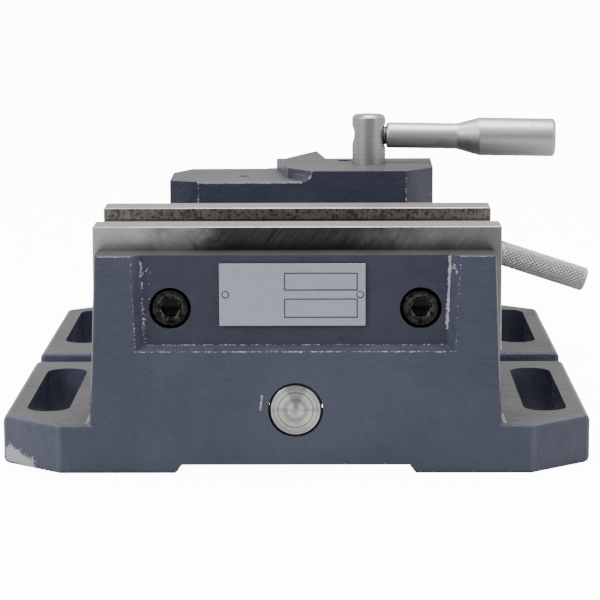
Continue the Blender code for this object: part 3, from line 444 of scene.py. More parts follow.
def makePaint(name, lineChipsAndHighlights, settings):
    material, tree, shader = newMaterial(name, IOR=1.5, Specular_IOR_Level=settings["shine"])
    coords = objectCoords(tree)
    skin = useGroup(tree, castSkin, Vector=coords, Lumps=settings["lumps"])
    wear = addNode(tree, "ShaderNodeAttribute", attribute_name="wear").outputs["Fac"]
    edge = useGroup(tree, edgeChips, Vector=coords, Wear=wear, Amount=settings["edgeWear"])["Mask"]
    spot = useGroup(tree, lineChipsAndHighlights, Vector=coords)["Mask"]
    chipsAndHighlights = mathNode(tree, "MAXIMUM", edge, spot)
    dust = useGroup(tree, grime, Vector=coords, Amount=settings["dust"])["Mask"]
    base = mixColour(tree, rampNode(tree, skin["Tone"], 0.3, 0.7), settings["shade"], settings["light"])
    # thin paint on the edges lets a paler undercoat show
    base = mixColour(tree, mathNode(tree, "MULTIPLY", wear, settings["thin"]), base, settings["undercoat"])
    base = mixColour(tree, dust, base, settings["dustColour"])
    specks = rampNode(tree, noiseNode(tree, coords, 700, 4.0, 0.75), 0.72, 0.8)
    base = mixColour(tree, mathNode(tree, "MULTIPLY", specks, 0.4), base, settings["undercoat"])
    # chips show the bare colour, and so do the painted highlights listed with the chip lines
    base = mixColour(tree, chipsAndHighlights, base, settings["bareAndHighlight"])
    tree.links.new(base, shader.inputs["Base Color"])
    gloss = mixValue(tree, skin["Tone"], settings["gloss"] - 0.05, settings["gloss"] + 0.07)
    gloss = mixValue(tree, dust, gloss, 0.6)
    tree.links.new(mixValue(tree, chipsAndHighlights, gloss, 0.55), shader.inputs["Roughness"])
    height = mathNode(tree, "MULTIPLY_ADD", chipsAndHighlights, -0.8, skin["Height"])
    addBump(tree, shader, height, settings["bump"], 0.0005)
    return material


paintLook = {"shade": (0.045, 0.050, 0.078), "light": (0.058, 0.064, 0.096), "undercoat": (0.30, 0.32, 0.37),
             "bareAndHighlight": (0.36, 0.37, 0.40), "dustColour": (0.085, 0.088, 0.10), "gloss": 0.24, "lumps": 1.0,
             "edgeWear": 0.36, "thin": 0.14, "dust": 0.06, "bump": 0.8, "shine": 0.34}


def makePaints(name, shade, **changes):
    # upward faces get a copy with painted light, and recessed and shaded faces a copy with painted shade
    look = dict(paintLook, **changes)
    lineChipsAndHighlights = makeChipAndHighlightLines(chipAndHighlightPlaces[name])
    # painted light and reflection of the bright ceiling: upward faces are lighter, warmer and duller, with more of the
    # dust colour
    top = dict(look, shine=0.06, gloss=0.4, shade=(0.07, 0.068, 0.07), light=(0.1, 0.097, 0.098), dust=0.3)
    # painted shade: the tone colours are darkened by the factor shade
    dark = dict(look, shine=0.22, **{key: tuple(shade * c for c in look[key]) for key in ("shade", "light")})
    return [makePaint(name + "Paint", lineChipsAndHighlights, look), makePaint(name + "PaintedLitTop", lineChipsAndHighlights, top),
            makePaint(name + "PaintedShade", lineChipsAndHighlights, dark)]


basePaints = makePaints("base", 0.72)
carriagePaints = makePaints("carriage", 0.78, lumps=1.1)
jawPaints = makePaints("jaw", 0.78)


def paintedSectorGlints(tree, coords, stops):
    # Painted glints on a faced end, bright and dark by sectors: the tone is read from stops of (share of a turn round
    # Z, tone).
    split = splitNode(tree, coords)
    wobble = mathNode(tree, "MULTIPLY_ADD", noiseNode(tree, coords, 500, 2.0, 0.5), 0.05, 0.475)
    angle = mathNode(tree, "ARCTAN2", split[1], split[0])
    ramp = addNode(tree, "ShaderNodeValToRGB")
    tree.links.new(mathNode(tree, "MULTIPLY_ADD", angle, 1 / (2 * math.pi), wobble), ramp.inputs[0])
    points = ramp.color_ramp.elements
    for index, (share, tone) in enumerate(stops):
        point = points[index] if index < 2 else points.new(share)
        point.position, point.color = share, (tone, tone, tone, 1.0)
    return ramp.outputs[0]


def makeSteel(name, settings):
    # Machined steel: streaks change its tone, roughness and height, and oil darkens it in patches.
    material, tree, shader = newMaterial(name, Metallic=1.0)
    coords = objectCoords(tree, settings.get("centre", (0, 0, 0)), settings.get("turn", (0, 0, 0)))
    if settings["marks"] == "turned":
        marks = useGroup(tree, turnRings, Vector=coords, Rings=settings.get("rings", 2400.0))
    else:
        marks = useGroup(tree, grindMarks, Vector=coords)
    plain = objectCoords(tree)
    oil = useGroup(tree, grime, Vector=plain, Amount=settings["oil"])["Mask"]
    base = mixColour(tree, marks["Streak"], settings["dark"], settings["bright"])
    base = mixColour(tree, oil, base, settings["oilColour"])
    if "sectors" in settings:
        # painted glints: the faced end is made bright and dark by sectors
        base = mixColour(tree, paintedSectorGlints(tree, coords, settings["sectors"]), (0.13, 0.13, 0.12), base)
    tree.links.new(base, shader.inputs["Base Color"])
    rough = mixValue(tree, marks["Streak"], settings["rough"] + 0.08, settings["rough"] - 0.06)
    tree.links.new(mixValue(tree, oil, rough, settings["rough"] + 0.12), shader.inputs["Roughness"])
    addBump(tree, shader, marks["Height"], settings["bump"], 0.0001)
    return material


steelLook = {"marks": "ground", "dark": (0.40, 0.39, 0.38), "bright": (0.62, 0.61, 0.59), "rough": 0.34,
             "oil": 0.3, "oilColour": (0.20, 0.17, 0.13), "bump": 0.5}
machined = makeSteel("machinedCasting", dict(
    steelLook, dark=(0.13, 0.13, 0.135), bright=(0.22, 0.22, 0.22), rough=0.4))
keeperSteel = makeSteel("keeperSteel", steelLook)
plateTopSteel = makeSteel("plateTopSteel", dict(steelLook, dark=(0.27, 0.255, 0.235), bright=(0.48, 0.455, 0.425),
                                                rough=0.42, oil=0.1))


def makeFrontPlate():
    # Slanting grinding marks, and a painted reflection: bright at the ends of the plate and dark between.
    material, tree, shader = newMaterial("frontPlateSteel", Metallic=1.0)
    marks = useGroup(tree, grindMarks, Vector=objectCoords(tree, rotation=(0, math.radians(-52), 0)))
    level = useGroup(tree, grindMarks, Vector=objectCoords(tree))
    plain = objectCoords(tree)
    split = splitNode(tree, plain)
    cloud = mathNode(tree, "MULTIPLY_ADD", noiseNode(tree, plain, 75, 4.0, 0.6, 0.5), 0.05, -0.025)
    along = mathNode(tree, "ADD", split[0], cloud)
    left = mathNode(tree, "SUBTRACT", 1.0, rampNode(tree, along, -0.066, -0.022))
    right = mathNode(tree, "MULTIPLY", rampNode(tree, along, 0.018, 0.055), 0.36)
    # painted reflection: the mask is 1 at the left end, 0.36 at the right end and 0 in the dark middle, and streaks
    # are brighter where it is high
    ends = mathNode(tree, "MAXIMUM", left, right)
    base = mixColour(tree, ends, (0.024, 0.021, 0.026), (0.44, 0.44, 0.455))
    streak = mathNode(tree, "MULTIPLY", marks["Streak"], mathNode(tree, "MULTIPLY_ADD", ends, 0.25, 0.07))
    base = mixColour(tree, streak, base, (0.75, 0.75, 0.76))
    faint = mathNode(tree, "MULTIPLY", rampNode(tree, level["Height"], 0.58, 0.7), 0.08)
    base = mixColour(tree, faint, base, (0.7, 0.69, 0.68))
    tree.links.new(base, shader.inputs["Base Color"])
    tree.links.new(mixValue(tree, marks["Streak"], 0.38, 0.26), shader.inputs["Roughness"])
    addBump(tree, shader, marks["Height"], 0.5, 0.0001)
    return material


frontPlateSteel = makeFrontPlate()


def makeOiledPlate():
    # The gripping face of the rear plate: upright milling marks under dark oil, and a rusty
    # film that gathers low, along the step.
    material, tree, shader = newMaterial("oiledPlate", Metallic=1.0)
    coords = objectCoords(tree, rotation=(0, math.radians(90), 0))
    marks = useGroup(tree, grindMarks, Vector=coords)
    plain = objectCoords(tree)
    split = splitNode(tree, plain)
    blotch = noiseNode(tree, plain, 210, 4.0, 0.65)
    low = mathNode(tree, "MULTIPLY_ADD", blotch, 0.0022, split[2])
    rust = mathNode(tree, "SUBTRACT", 1.0, rampNode(tree, low, 0.0788, 0.0806))
    base = mixColour(tree, marks["Streak"], (0.17, 0.165, 0.155), (0.34, 0.33, 0.31))
    oily = rampNode(tree, noiseNode(tree, plain, 900, 4.0, 0.7), 0.46, 0.62)
    base = mixColour(tree, oily, base, (0.07, 0.068, 0.065))
    base = mixColour(tree, mathNode(tree, "MULTIPLY", rust, 0.75), base, (0.27, 0.19, 0.12))
    tree.links.new(base, shader.inputs["Base Color"])
    tree.links.new(mixValue(tree, blotch, 0.35, 0.6), shader.inputs["Roughness"])
    addBump(tree, shader, marks["Height"], 0.6, 0.0002)
    return material


oiledPlate = makeOiledPlate()


def turnedFor(name, node, direction, **changes):
    # Turned steel with its rings centred on a node's own axis.
    low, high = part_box(node)
    centre = tuple((a + b) / 2 for a, b in zip(low, high))
    turn = {"X": (0, math.radians(90), 0), "Y": (math.radians(90), 0, 0), "Z": (0, 0, 0)}[direction]
    return makeSteel(name, dict(steelLook, marks="turned", centre=centre, turn=turn, **changes))


satin = {"dark": (0.44, 0.44, 0.44), "bright": (0.54, 0.54, 0.535), "rough": 0.3, "oil": 0.1, "bump": 0.12}
# the bar's sectors are painted glints on its faced end
barSteel = turnedFor("barSteel", "guide_bar", "Y", **dict(
    satin, dark=(0.34, 0.335, 0.32), bright=(0.72, 0.715, 0.70), rough=0.3, bump=0.9, rings=1500.0,
    sectors=[(0.0, 0.45), (1.0, 0.45), (0.03, 0.75), (0.15, 0.62), (0.33, 0.66), (0.37, 0.97), (0.46, 0.92),
             (0.5, 0.5), (0.53, 0.85), (0.66, 0.8), (0.69, 0.3), (0.8, 0.34), (0.84, 0.92), (0.96, 0.9)]))
spindleSteel = turnedFor("spindleSteel", "clamping_spindle", "Y", **satin)
hubSteel = turnedFor("hubSteel", "spindle_hub", "Y", **satin)
postSteel = turnedFor("postSteel", "lock_post", "Z", **dict(
    satin, dark=(0.40, 0.40, 0.405), bright=(0.5, 0.5, 0.505), bump=0.04, rough=0.34))
leverSteel = turnedFor("leverSteel", "lever_handle", "X", **dict(
    satin, dark=(0.50, 0.50, 0.50), bright=(0.58, 0.58, 0.58), oil=0.04, bump=0.03, rough=0.4))
handleSteel = makeSteel("handleSteel", dict(
    steelLook, dark=(0.44, 0.44, 0.43), bright=(0.54, 0.54, 0.53), rough=0.4, oil=0.1, bump=0.1))
bronze = turnedFor("bronze", "guide_bar", "Y",
                   dark=(0.36, 0.22, 0.10), bright=(0.56, 0.38, 0.19), rough=0.33, oil=0.4)
studSteel = makeSteel("studSteel", dict(steelLook, dark=(0.22, 0.17, 0.13), bright=(0.42, 0.35, 0.29), rough=0.4))


def makeBlackOxide():
    material, tree, shader = newMaterial("blackOxide", Metallic=1.0)
    coords = objectCoords(tree)
    tone = noiseNode(tree, coords, 700, 4.0, 0.6)
    wear = addNode(tree, "ShaderNodeAttribute", attribute_name="wear").outputs["Fac"]
    rubbed = mathNode(tree, "MULTIPLY", wear, rampNode(tree, tone, 0.35, 0.65))
    base = mixColour(tree, tone, (0.006, 0.006, 0.007), (0.022, 0.021, 0.021))
    base = mixColour(tree, mathNode(tree, "MULTIPLY", rubbed, 0.25), base, (0.26, 0.25, 0.25))
    tree.links.new(base, shader.inputs["Base Color"])
    tree.links.new(mixValue(tree, tone, 0.2, 0.4), shader.inputs["Roughness"])
    addBump(tree, shader, tone, 0.25, 0.0002)
    return material


def makeLabel(name, dark, bright, rough):
    material, tree, shader = newMaterial(name, Metallic=0.55)
    coords = objectCoords(tree)
    marks = useGroup(tree, grindMarks, Vector=coords)
    mottled = noiseNode(tree, coords, 330, 3.0, 0.6)
    base = mixColour(tree, mottled, dark, bright)
    base = mixColour(tree, mathNode(tree, "MULTIPLY", marks["Streak"], 0.15), base, (0.6, 0.63, 0.7))
    tree.links.new(base, shader.inputs["Base Color"])
    tree.links.new(mixValue(tree, mottled, rough, rough + 0.15), shader.inputs["Roughness"])
    addBump(tree, shader, marks["Height"], 0.15, 0.0001)
    return material


blackOxide = makeBlackOxide()
label = makeLabel("labelMetal", (0.29, 0.325, 0.39), (0.38, 0.415, 0.48), 0.36)
labelInk = makeLabel("labelInk", (0.018, 0.02, 0.024), (0.03, 0.032, 0.036), 0.5)
print("materials ready")

# Castings.

def castingPiece(name, node, paints, rounding, isMachined, isDark):
    mesh = weldedMesh(name, node, rounding)
    addWear(mesh)
    centre, normal = meshNumbers(mesh.polygons, "center", 3) / mm, meshNumbers(mesh.polygons, "normal", 3)
    # slot 2 is the copy with painted light for upward faces, slot 3 the copy with painted shade
    painted = np.where(normal[:, 2] > 0.97, 2, np.where(isDark(centre, normal), 3, 0))
    kind = np.where(isMachined(centre, normal), 1, painted)
    mesh.polygons.foreach_set("material_index", kind.astype(np.int32))
    return addPiece(name, mesh, node, [paints[0], machined, paints[1], paints[2]], weighted=True)


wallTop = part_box("base_casting")[1].z / mm
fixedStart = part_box("fixed_jaw_plate")[0].y / mm


def baseMachined(centre, normal):
    x, y, z = centre.T
    up, rear = normal[:, 2] > 0.98, normal[:, 1] > 0.98
    rails = up & (np.abs(z - 39) < 0.4)
    wall = (up & (z > wallTop - 0.4)) | (rear & (np.abs(y - fixedStart) < 1) & (z > 38))
    channel = (np.abs(normal[:, 0]) > 0.98) & (np.abs(x) < 47) & (z > 7) & (np.abs(y) < 122)
    under = (normal[:, 2] < -0.98) & ((z < 0.3) | (np.abs(z - 26.9) < 0.3))
    return rails | wall | channel | under


# the isDark faces get painted shade: the floor of the base's front recess and the carriage's front faces
castingPiece("baseBody", "base_casting", basePaints, 0.45, baseMachined,
             lambda centre, normal: (normal[:, 1] < -0.9) & (np.abs(centre[:, 1] + 132.5) < 0.3)
             & (centre[:, 2] > 40))
castingPiece("jawBody", "movable_jaw_casting", jawPaints, 0.4,
             lambda centre, normal: (centre[:, 2] < 39.8) | ((np.abs(normal[:, 1]) > 0.98) & (centre[:, 1] < -49)),
             lambda centre, normal: centre[:, 2] < 0)
castingPiece("carriageBody", "carriage_casting", carriagePaints, 0.4,
             lambda centre, normal: (centre[:, 2] < 39.8) | ((normal[:, 1] > 0.98) & (centre[:, 1] > 59)),
             lambda centre, normal: (normal[:, 1] < -0.5) & (centre[:, 1] < 10))
print("castings ready")

# Jaw plates.

def platePiece(name, node, faceMaterial):
    mesh = weldedMesh(name, node, 0.12, 3)
    addWear(mesh, 20)
    normal = meshNumbers(mesh.polygons, "normal", 3)
    kind = np.where(normal[:, 2] > 0.5, 1, np.where(np.abs(normal[:, 0]) > 0.7, 2, 0))
    mesh.polygons.foreach_set("material_index", kind.astype(np.int32))
    return addPiece(name, mesh, node, [faceMaterial, plateTopSteel, keeperSteel], weighted=True)


platePiece("fixedPlate", "fixed_jaw_plate", frontPlateSteel)
platePiece("movingPlate", "movable_jaw_plate", oiledPlate)

for node in ("jaw_keeper_left", "jaw_keeper_right", "carriage_keeper_left", "carriage_keeper_right"):
    mesh = weldedMesh(node.replace("_", "") + "Strip", node, 0.3)
    addPiece(mesh.name, mesh, node, [keeperSteel], weighted=True)
print("plates ready")

# Screws.

# head radius, head height, thread radius, width across the socket's flats
screwSizes = {"M8": (6.5, 8.0, 4.0, 6.0), "M6": (5.0, 6.0, 3.0, 5.0), "M4": (3.5, 4.0, 2.0, 3.0)}


def screwTop(node, direction):
    # The middle of a screw's head end, its axis, and its length in mm.
    lowCorner, highCorner = (np.array(c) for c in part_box(node))
    axis = np.asarray(direction, float)
    flat = 1 - np.abs(axis)
    top = np.where(axis > 0, highCorner, lowCorner) * np.abs(axis) + (lowCorner + highCorner) / 2 * flat
    return top, axis, float(((highCorner - lowCorner) * np.abs(axis)).sum()) / mm


def socketScrew(name, node, size, direction):
    # Its profile goes down the shank's outside from the socket's floor: socket, rim, head, shank.
    head, tall, thread, flats = screwSizes[size]
    top, axis, length = screwTop(node, direction)
    half = flats / 2
    depth = tall * 0.55
    outer = roundedProfile(
        [(half * 1.32, -0.12), (head - 0.7, 0), (head, -0.7), (head, -tall), (thread + 0.5, -tall),
         (thread, -tall - 0.5), (thread, -length + 0.7), (thread - 0.7, -length), (0, -length)], 0.3)
    inner = np.array([(half * 1.2, -0.35), (half, -0.7), (half, -depth), (half * 0.9, -depth - 0.15),
                      (0.001, -depth - 0.9)])
    profile = np.vstack([outer[::-1], inner])
    mesh = turnedMesh(name, profile, top, axis, 72, hexFrom=len(outer))
    addWear(mesh, 8)
    return addPiece(name, mesh, node, [blackOxide])


for side in ("left", "right"):
    socketScrew(f"fixedJawScrew{side.title()}", f"fixed_jaw_screw_{side}", "M8", (0, -1, 0))
for side in ("left", "right"):
    socketScrew(f"movingJawScrew{side.title()}", f"movable_jaw_screw_{side}", "M8", (0, 1, 0))
for body in ("jaw", "carriage"):
    for side in ("left", "right"):
        socketScrew(f"{body}KeeperScrew{side.title()}", f"{body}_keeper_screw_{side}", "M6", (0, 0, -1))
for index in (1, 2, 3):
    socketScrew(f"nutScrew{index}", f"nut_screw_{index}", "M4", (0, 1, 0))


def grubScrew(name, node, radius, flats, direction):
    top, axis, length = screwTop(node, direction)
    half = flats / 2
    outer = roundedProfile([(half * 1.3, 0), (radius - 0.5, 0), (radius, -0.5), (radius, -length + 0.5),
                            (radius - 0.5, -length), (0, -length)], 0.15)
    inner = np.array([(half, -0.3), (half, -length * 0.5), (0.001, -length * 0.5 - 0.6)])
    mesh = turnedMesh(name, np.vstack([outer[::-1], inner]), top, axis, 60, hexFrom=len(outer))
    addWear(mesh, 4)
    return addPiece(name, mesh, node, [blackOxide])


grubScrew("barSetScrewFront", "bar_set_screw_front", 4.0, 4.0, (0, 0, -1))
grubScrew("barSetScrewRear", "bar_set_screw_rear", 4.0, 4.0, (0, 0, 1))
grubScrew("postStopScrew", "post_stop_screw", 2.5, 2.5, (0, 0, 1))
grubScrew("handleGrubScrew", "handle_grub_screw", 3.0, 3.0, (0, 1, 0))
grubScrew("spindleHoldingScrew", "spindle_retaining_screw", 2.4, 2.0, (0, 0, 1))
print("screws ready")

# Turned pieces.

def endOf(node, direction):
    # The point of a node's axis at its low end along a row axis, and its length in mm.
    lowCorner, highCorner = (np.array(c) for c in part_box(node))
    axis = np.abs(np.asarray(direction, float))
    start = lowCorner * axis + (lowCorner + highCorner) / 2 * (1 - axis)
    return start, float(((highCorner - lowCorner) * axis).sum()) / mm


def turnedPiece(name, node, material, profile, direction, rounding=0.3, sides=96, wear=True):
    # profile(length) gives radius and height pairs from the low end of the node.
    start, length = endOf(node, direction)
    mesh = turnedMesh(name, roundedProfile(profile(length), rounding), start, direction, sides)
    if wear:
        addWear(mesh, 2)
    return addPiece(name, mesh, node, [material])


def ringProfile(inner, outer, chamfer):
    return lambda n: [(inner, n / 2), (inner, n - chamfer), (inner + chamfer, n), (outer - chamfer, n),
                      (outer, n - chamfer), (outer, chamfer), (outer - chamfer, 0), (inner + chamfer, 0),
                      (inner, chamfer), (inner, n / 2)]


turnedPiece("guideBar", "guide_bar", barSteel,
            lambda n: [(0, 0), (0.55, 0), (0.6, 0.12), (7.9, 0.0), (8.35, 0.0), (9.0, 0.65), (9.0, n - 0.7),
                       (8.3, n), (0, n)],
            (0, 1, 0), 0.12, 128)
turnedPiece("jawBush", "jaw_bush", bronze, ringProfile(9.3, 11.0, 0.5), (0, 1, 0))
turnedPiece("carriageBush", "carriage_bush", bronze, ringProfile(9.3, 11.0, 0.5), (0, 1, 0))
turnedPiece("thrustWasher", "thrust_washer", hubSteel, ringProfile(5.4, 8.5, 0.35), (0, 1, 0))
turnedPiece("postRing", "post_retaining_ring", blackOxide, ringProfile(3.4, 6.4, 0.15), (0, 0, 1))


for side in ("left", "right"):
    turnedPiece(f"labelRivet{side.title()}", f"nameplate_rivet_{side}", label,
                lambda n: [(0, 0), (0.8, 0.05), (1.0, 0.25), (1.0, n), (0, n)], (0, 1, 0), 0.05, 48)
turnedPiece("oilerNipple", "oiler", blackOxide,
            lambda n: [(0, 0), (1.4, 0), (1.6, 0.2), (1.6, n - 0.2), (1.4, n), (0.9, n), (0.7, n - 0.3),
                       (0, n - 0.5)],
            (0, 0, 1), 0.05, 64)
turnedPiece("lockShoe", "lock_shoe", bronze,
            lambda n: [(0, 0), (4.5, 0), (5.0, 0.5), (5.0, n - 0.5), (4.5, n), (0, n)], (1, 0, 0))

# The lever and its stud slope down a little from the post's axis.
lever = {"drop": 1.0, "neckStart": 6.8, "shoulder": 34.3, "grip": 42.9, "end": 72.5, "neck": 5.0, "thick": 7.4}
postLow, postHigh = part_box("lock_post")
leverHeight = 0.1015
postCentre = np.array([(postLow.x + postHigh.x) / 2, (postLow.y + postHigh.y) / 2, leverHeight])
leverWay = np.array([math.cos(math.radians(lever["drop"])), 0, -math.sin(math.radians(lever["drop"]))])
neckStart, neck, thick, leverEnd = (lever[key] for key in ("neckStart", "neck", "thick", "end"))
leverProfile = roundedProfile(
    [(3.95, neckStart + 9.5), (3.95, neckStart), (neck - 0.55, neckStart), (neck, neckStart + 0.6),
     (neck, lever["shoulder"]), (thick, lever["grip"]), (thick, leverEnd - 0.8), (thick - 0.8, leverEnd),
     (1.0, leverEnd), (0.8, leverEnd - 0.6), (0, leverEnd - 0.9)], 0.5, 4)
leverProfile = np.vstack([[0, neckStart + 9.5], leverProfile])
mesh = turnedMesh("leverGrip", leverProfile, postCentre, leverWay, 128)
addWear(mesh, 2)
addPiece("leverGrip", mesh, "lever_handle", [leverSteel])


def threadedRod(name, start, direction, length, radius, pitch, depth, sides, perTurn,
                startPlain=0.0, endPlain=0.0, starts=1):
    # radius falls by depth times a trapezoid wave of (height / pitch - starts * angle / 2 pi), and the
    # wave fades out over the plain ends.
    rows = int(length / pitch * perTurn) + 1
    height = np.linspace(0, length, rows)[:, None]
    angle = np.linspace(0, 2 * math.pi, sides, endpoint=False)[None, :]
    phase = np.mod(height / pitch - starts * angle / (2 * math.pi), 1.0)
    wave = np.clip((np.abs(phase - 0.5) - 0.12) / 0.2, 0, 1)
    fade = np.clip((height - startPlain) / 1.2, 0, 1) * np.clip((length - endPlain - height) / 1.2, 0, 1)
    around = radius - depth * (1 - wave) * fade
    ends = np.clip(np.minimum(height, length - height) / 0.6, 0, 1)
    around = around - 0.6 * (1 - ends)
    return meshFromGrid(name, pointsRound(start, direction, height, around, angle))


studStart = postCentre + leverWay * -0.8 * mm
mesh = threadedRod("leverStud", studStart, leverWay, 17.5, 3.7, 1.25, 0.45, 64, 10, startPlain=1.0)
addPiece("leverStud", mesh, "lever_stud", [studSteel], smooth=50)

# Lock post.

# radii and heights in mm; the eccentric is the part that pushes the shoe
post = {"radius": 6.5, "bevel": 1.1, "shoulder": 27.6, "eccentric": 5.0, "throw": 1.0, "eccentricBottom": 14.4,
        "stub": 4.0, "bottom": 8.3, "grooveLow": 9.6, "grooveHigh": 11.2}
topZ = postHigh.z / mm
radius, bevel, shoulder, lowest = (post[key] for key in ("radius", "bevel", "shoulder", "bottom"))
profile = roundedProfile(
    [(0, shoulder), (radius - 0.3, shoulder), (radius, shoulder + 0.3), (radius, topZ - bevel),
     (radius - bevel, topZ), (0, topZ)], 0.22)
foot = np.array([postCentre[0], postCentre[1], 0.0])
shaft = turnedMesh("lockPostShaft", profile, foot, (0, 0, 1), 128)
rod = lambda name, radius, centre, half, way=leverWay, far=None: turnedMesh(
    name, [(0, -half), (radius, -half), (radius if far is None else far, half), (0, half)], centre, way, 72)
shaft = carve(shaft, [
    rod("crossBore", 3.2, postCentre, 15), rod("studBore", 4.0, postCentre + leverWay * 8.5 * mm, 10),
    rod("leftSink", 4.2, postCentre - leverWay * 6.2 * mm, 1.3, far=2.8),
    rod("rightSink", 3.2, postCentre + leverWay * 5.9 * mm, 1.7, far=5.4)])
throw = np.array([0, post["throw"] * mm, 0])
wide, step, thin = post["eccentric"], post["eccentricBottom"], post["stub"]
lower = turnedMesh("lockPostEccentric", roundedProfile(
    [(0, shoulder), (wide, shoulder), (wide, step + 0.4), (wide - 0.4, step), (0, step)], 0.1),
    foot + throw, (0, 0, 1), 96)
stub = turnedMesh("lockPostStub", roundedProfile(
    [(0, step), (thin, step), (thin, post["grooveHigh"]), (3.2, post["grooveHigh"]), (3.2, post["grooveLow"]),
     (thin, post["grooveLow"]), (thin, lowest + 0.4), (thin - 0.4, lowest), (0, lowest)], 0.08), foot, (0, 0, 1), 96)
addPiece("lockPost", joinedMesh("lockPost", (shaft, lower, stub)), "lock_post", [postSteel], smooth=28)
print("lock ready")

# Spindle.

spindle = {"radius": 8.0, "pitch": 4.0, "starts": 2, "depth": 1.5, "shoulder": 14.3, "journal": 6.3,
           "threadStart": 70.1, "threadEnd": 120.1, "end": 138.6}
spindleStart = endOf("clamping_spindle", (0, 1, 0))[0]
shankWay = np.array([0, 1.0, 0])
shoulder, journal, threadStart, threadEnd, spindleEnd = (
    spindle[key] for key in ("shoulder", "journal", "threadStart", "threadEnd", "end"))
thread = threadedRod("spindleThread", spindleStart + shankWay * threadStart * mm, shankWay, threadEnd - threadStart,
                     spindle["radius"], spindle["pitch"], spindle["depth"], 96, 14,
                     startPlain=1.0, endPlain=3.0, starts=spindle["starts"])
tip = turnedMesh("spindleTip", roundedProfile(
    [(0, 0), (4.4, 0), (5.0, 0.6), (5.0, 2.8), (3.8, 2.8), (3.8, 6.4), (5.0, 6.4), (5.0, shoulder), (5.8, shoulder),
     (journal, shoulder + 0.5), (journal, threadStart), (0, threadStart)], 0.1), spindleStart, shankWay, 96)
tail = turnedMesh("spindleTail", roundedProfile(
    [(0, threadEnd), (6.0, threadEnd), (6.0, spindleEnd - 0.6), (5.4, spindleEnd), (0, spindleEnd)], 0.1),
    spindleStart, shankWay, 96)
mesh = joinedMesh("spindleScrew", (tip, thread, tail))
addPiece("spindleScrew", mesh, "clamping_spindle", [spindleSteel], smooth=40)

handle = {"drop": 18.1, "radius": 5.1, "reach": 126.5, "tail": 10.5,
          "knurlFrom": 89.5, "knurlPitch": 1.6, "knurlDepth": 0.4}
hubLow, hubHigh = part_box("spindle_hub")
handleCentre = np.array([0, hubHigh.y - 0.012, (hubLow.z + hubHigh.z) / 2])
dropAngle = math.radians(handle["drop"])
handleWay = np.array([math.cos(dropAngle), 0, -math.sin(dropAngle)])
acrossWay = np.array([math.sin(dropAngle), 0, math.cos(dropAngle)])

hubLength = (hubHigh.y - hubLow.y) / mm
hubStart = np.array([0, hubLow.y, handleCentre[2]])
hub = {"radius": 12.0, "chamfer": 1.0, "pinAt": 7.0, "pinBore": 2.3, "handleBore": 5.4, "screwBore": 3.3,
       "spindleBore": 6.3, "spindleReach": 16.8}
wide, edge = hub["radius"], hub["chamfer"]
mesh = turnedMesh("spindleHub", roundedProfile(
    [(0, 0), (wide - edge, 0), (wide, edge), (wide, hubLength - edge), (wide - edge, hubLength), (0, hubLength)], 0.2),
    hubStart, shankWay, 128)
pinCentre = hubStart + shankWay * hub["pinAt"] * mm
mesh = carve(mesh, [rod("hubBore", hub["spindleBore"], hubStart, hub["spindleReach"], shankWay),
                    rod("pinBore", hub["pinBore"], pinCentre, 15, acrossWay),
                    rod("handleBore", hub["handleBore"], handleCentre, 20, handleWay),
                    rod("screwBore", hub["screwBore"], hubStart + shankWay * hubLength * mm, 8, shankWay)])
addPiece("spindleHub", mesh, "spindle_hub", [hubSteel], smooth=28)
pinProfile = roundedProfile([(0, -11.5), (1.7, -11.5), (2.0, -11.1), (2.0, 11.1), (1.7, 11.5), (0, 11.5)], 0.15)
mesh = turnedMesh("hubPin", pinProfile, pinCentre, acrossWay, 48)
addPiece("hubPin", mesh, "hub_pin", [hubSteel])


def knurledRod():
    # radius falls by the depth times how near a point is to either of two crossing helices, which
    # leaves diamonds; the grooves fade in over the first millimetre, and both ends are chamfered.
    total = handle["reach"] + handle["tail"]
    teeth = round(2 * math.pi * handle["radius"] / handle["knurlPitch"])
    height = np.concatenate([np.linspace(0, handle["knurlFrom"] + handle["tail"] - 1.0, 60),
                             np.linspace(handle["knurlFrom"] + handle["tail"] - 0.8, total, 250)])[:, None]
    angle = np.linspace(0, 2 * math.pi, teeth * 8, endpoint=False)[None, :]
    turns = teeth * angle / (2 * math.pi)
    rise = height / (handle["knurlPitch"] * 1.15)
    groove = lambda phase: np.abs(np.mod(phase, 1.0) - 0.5) * 2
    ridge = np.minimum(groove(turns + rise), groove(turns - rise))
    fade = np.clip(height - handle["knurlFrom"] - handle["tail"], 0, 1) * np.clip(total - 0.6 - height, 0, 1)
    around = handle["radius"] - handle["knurlDepth"] * np.clip(1 - ridge * 1.6, 0, 1) * fade
    around = around - 0.9 * (1 - np.clip((total - height) / 0.9, 0, 1)) - 0.4 * (1 - np.clip(height / 0.4, 0, 1))
    start = handleCentre - handleWay * handle["tail"] * mm
    return meshFromGrid("clampHandle", pointsRound(start, handleWay, height, around, angle))


addPiece("clampHandle", knurledRod(), "knurled_handle", [handleSteel], smooth=24)

mesh = weldedMesh("spindleNut", "spindle_nut", 0.25)
addPiece("spindleNut", mesh, "spindle_nut", [bronze], weighted=True)
print("spindle ready")

# Nameplate.

plate = {"ink": 0.06, "line": 0.42, "boxes": [(-3.8, 21.1, 62.7, 68.8), (-3.8, 21.1, 53.4, 60.0)]}
mesh = weldedMesh("label", "nameplate", 0.12)
addPiece("label", mesh, "nameplate", [label], weighted=True)
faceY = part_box("nameplate")[0].y


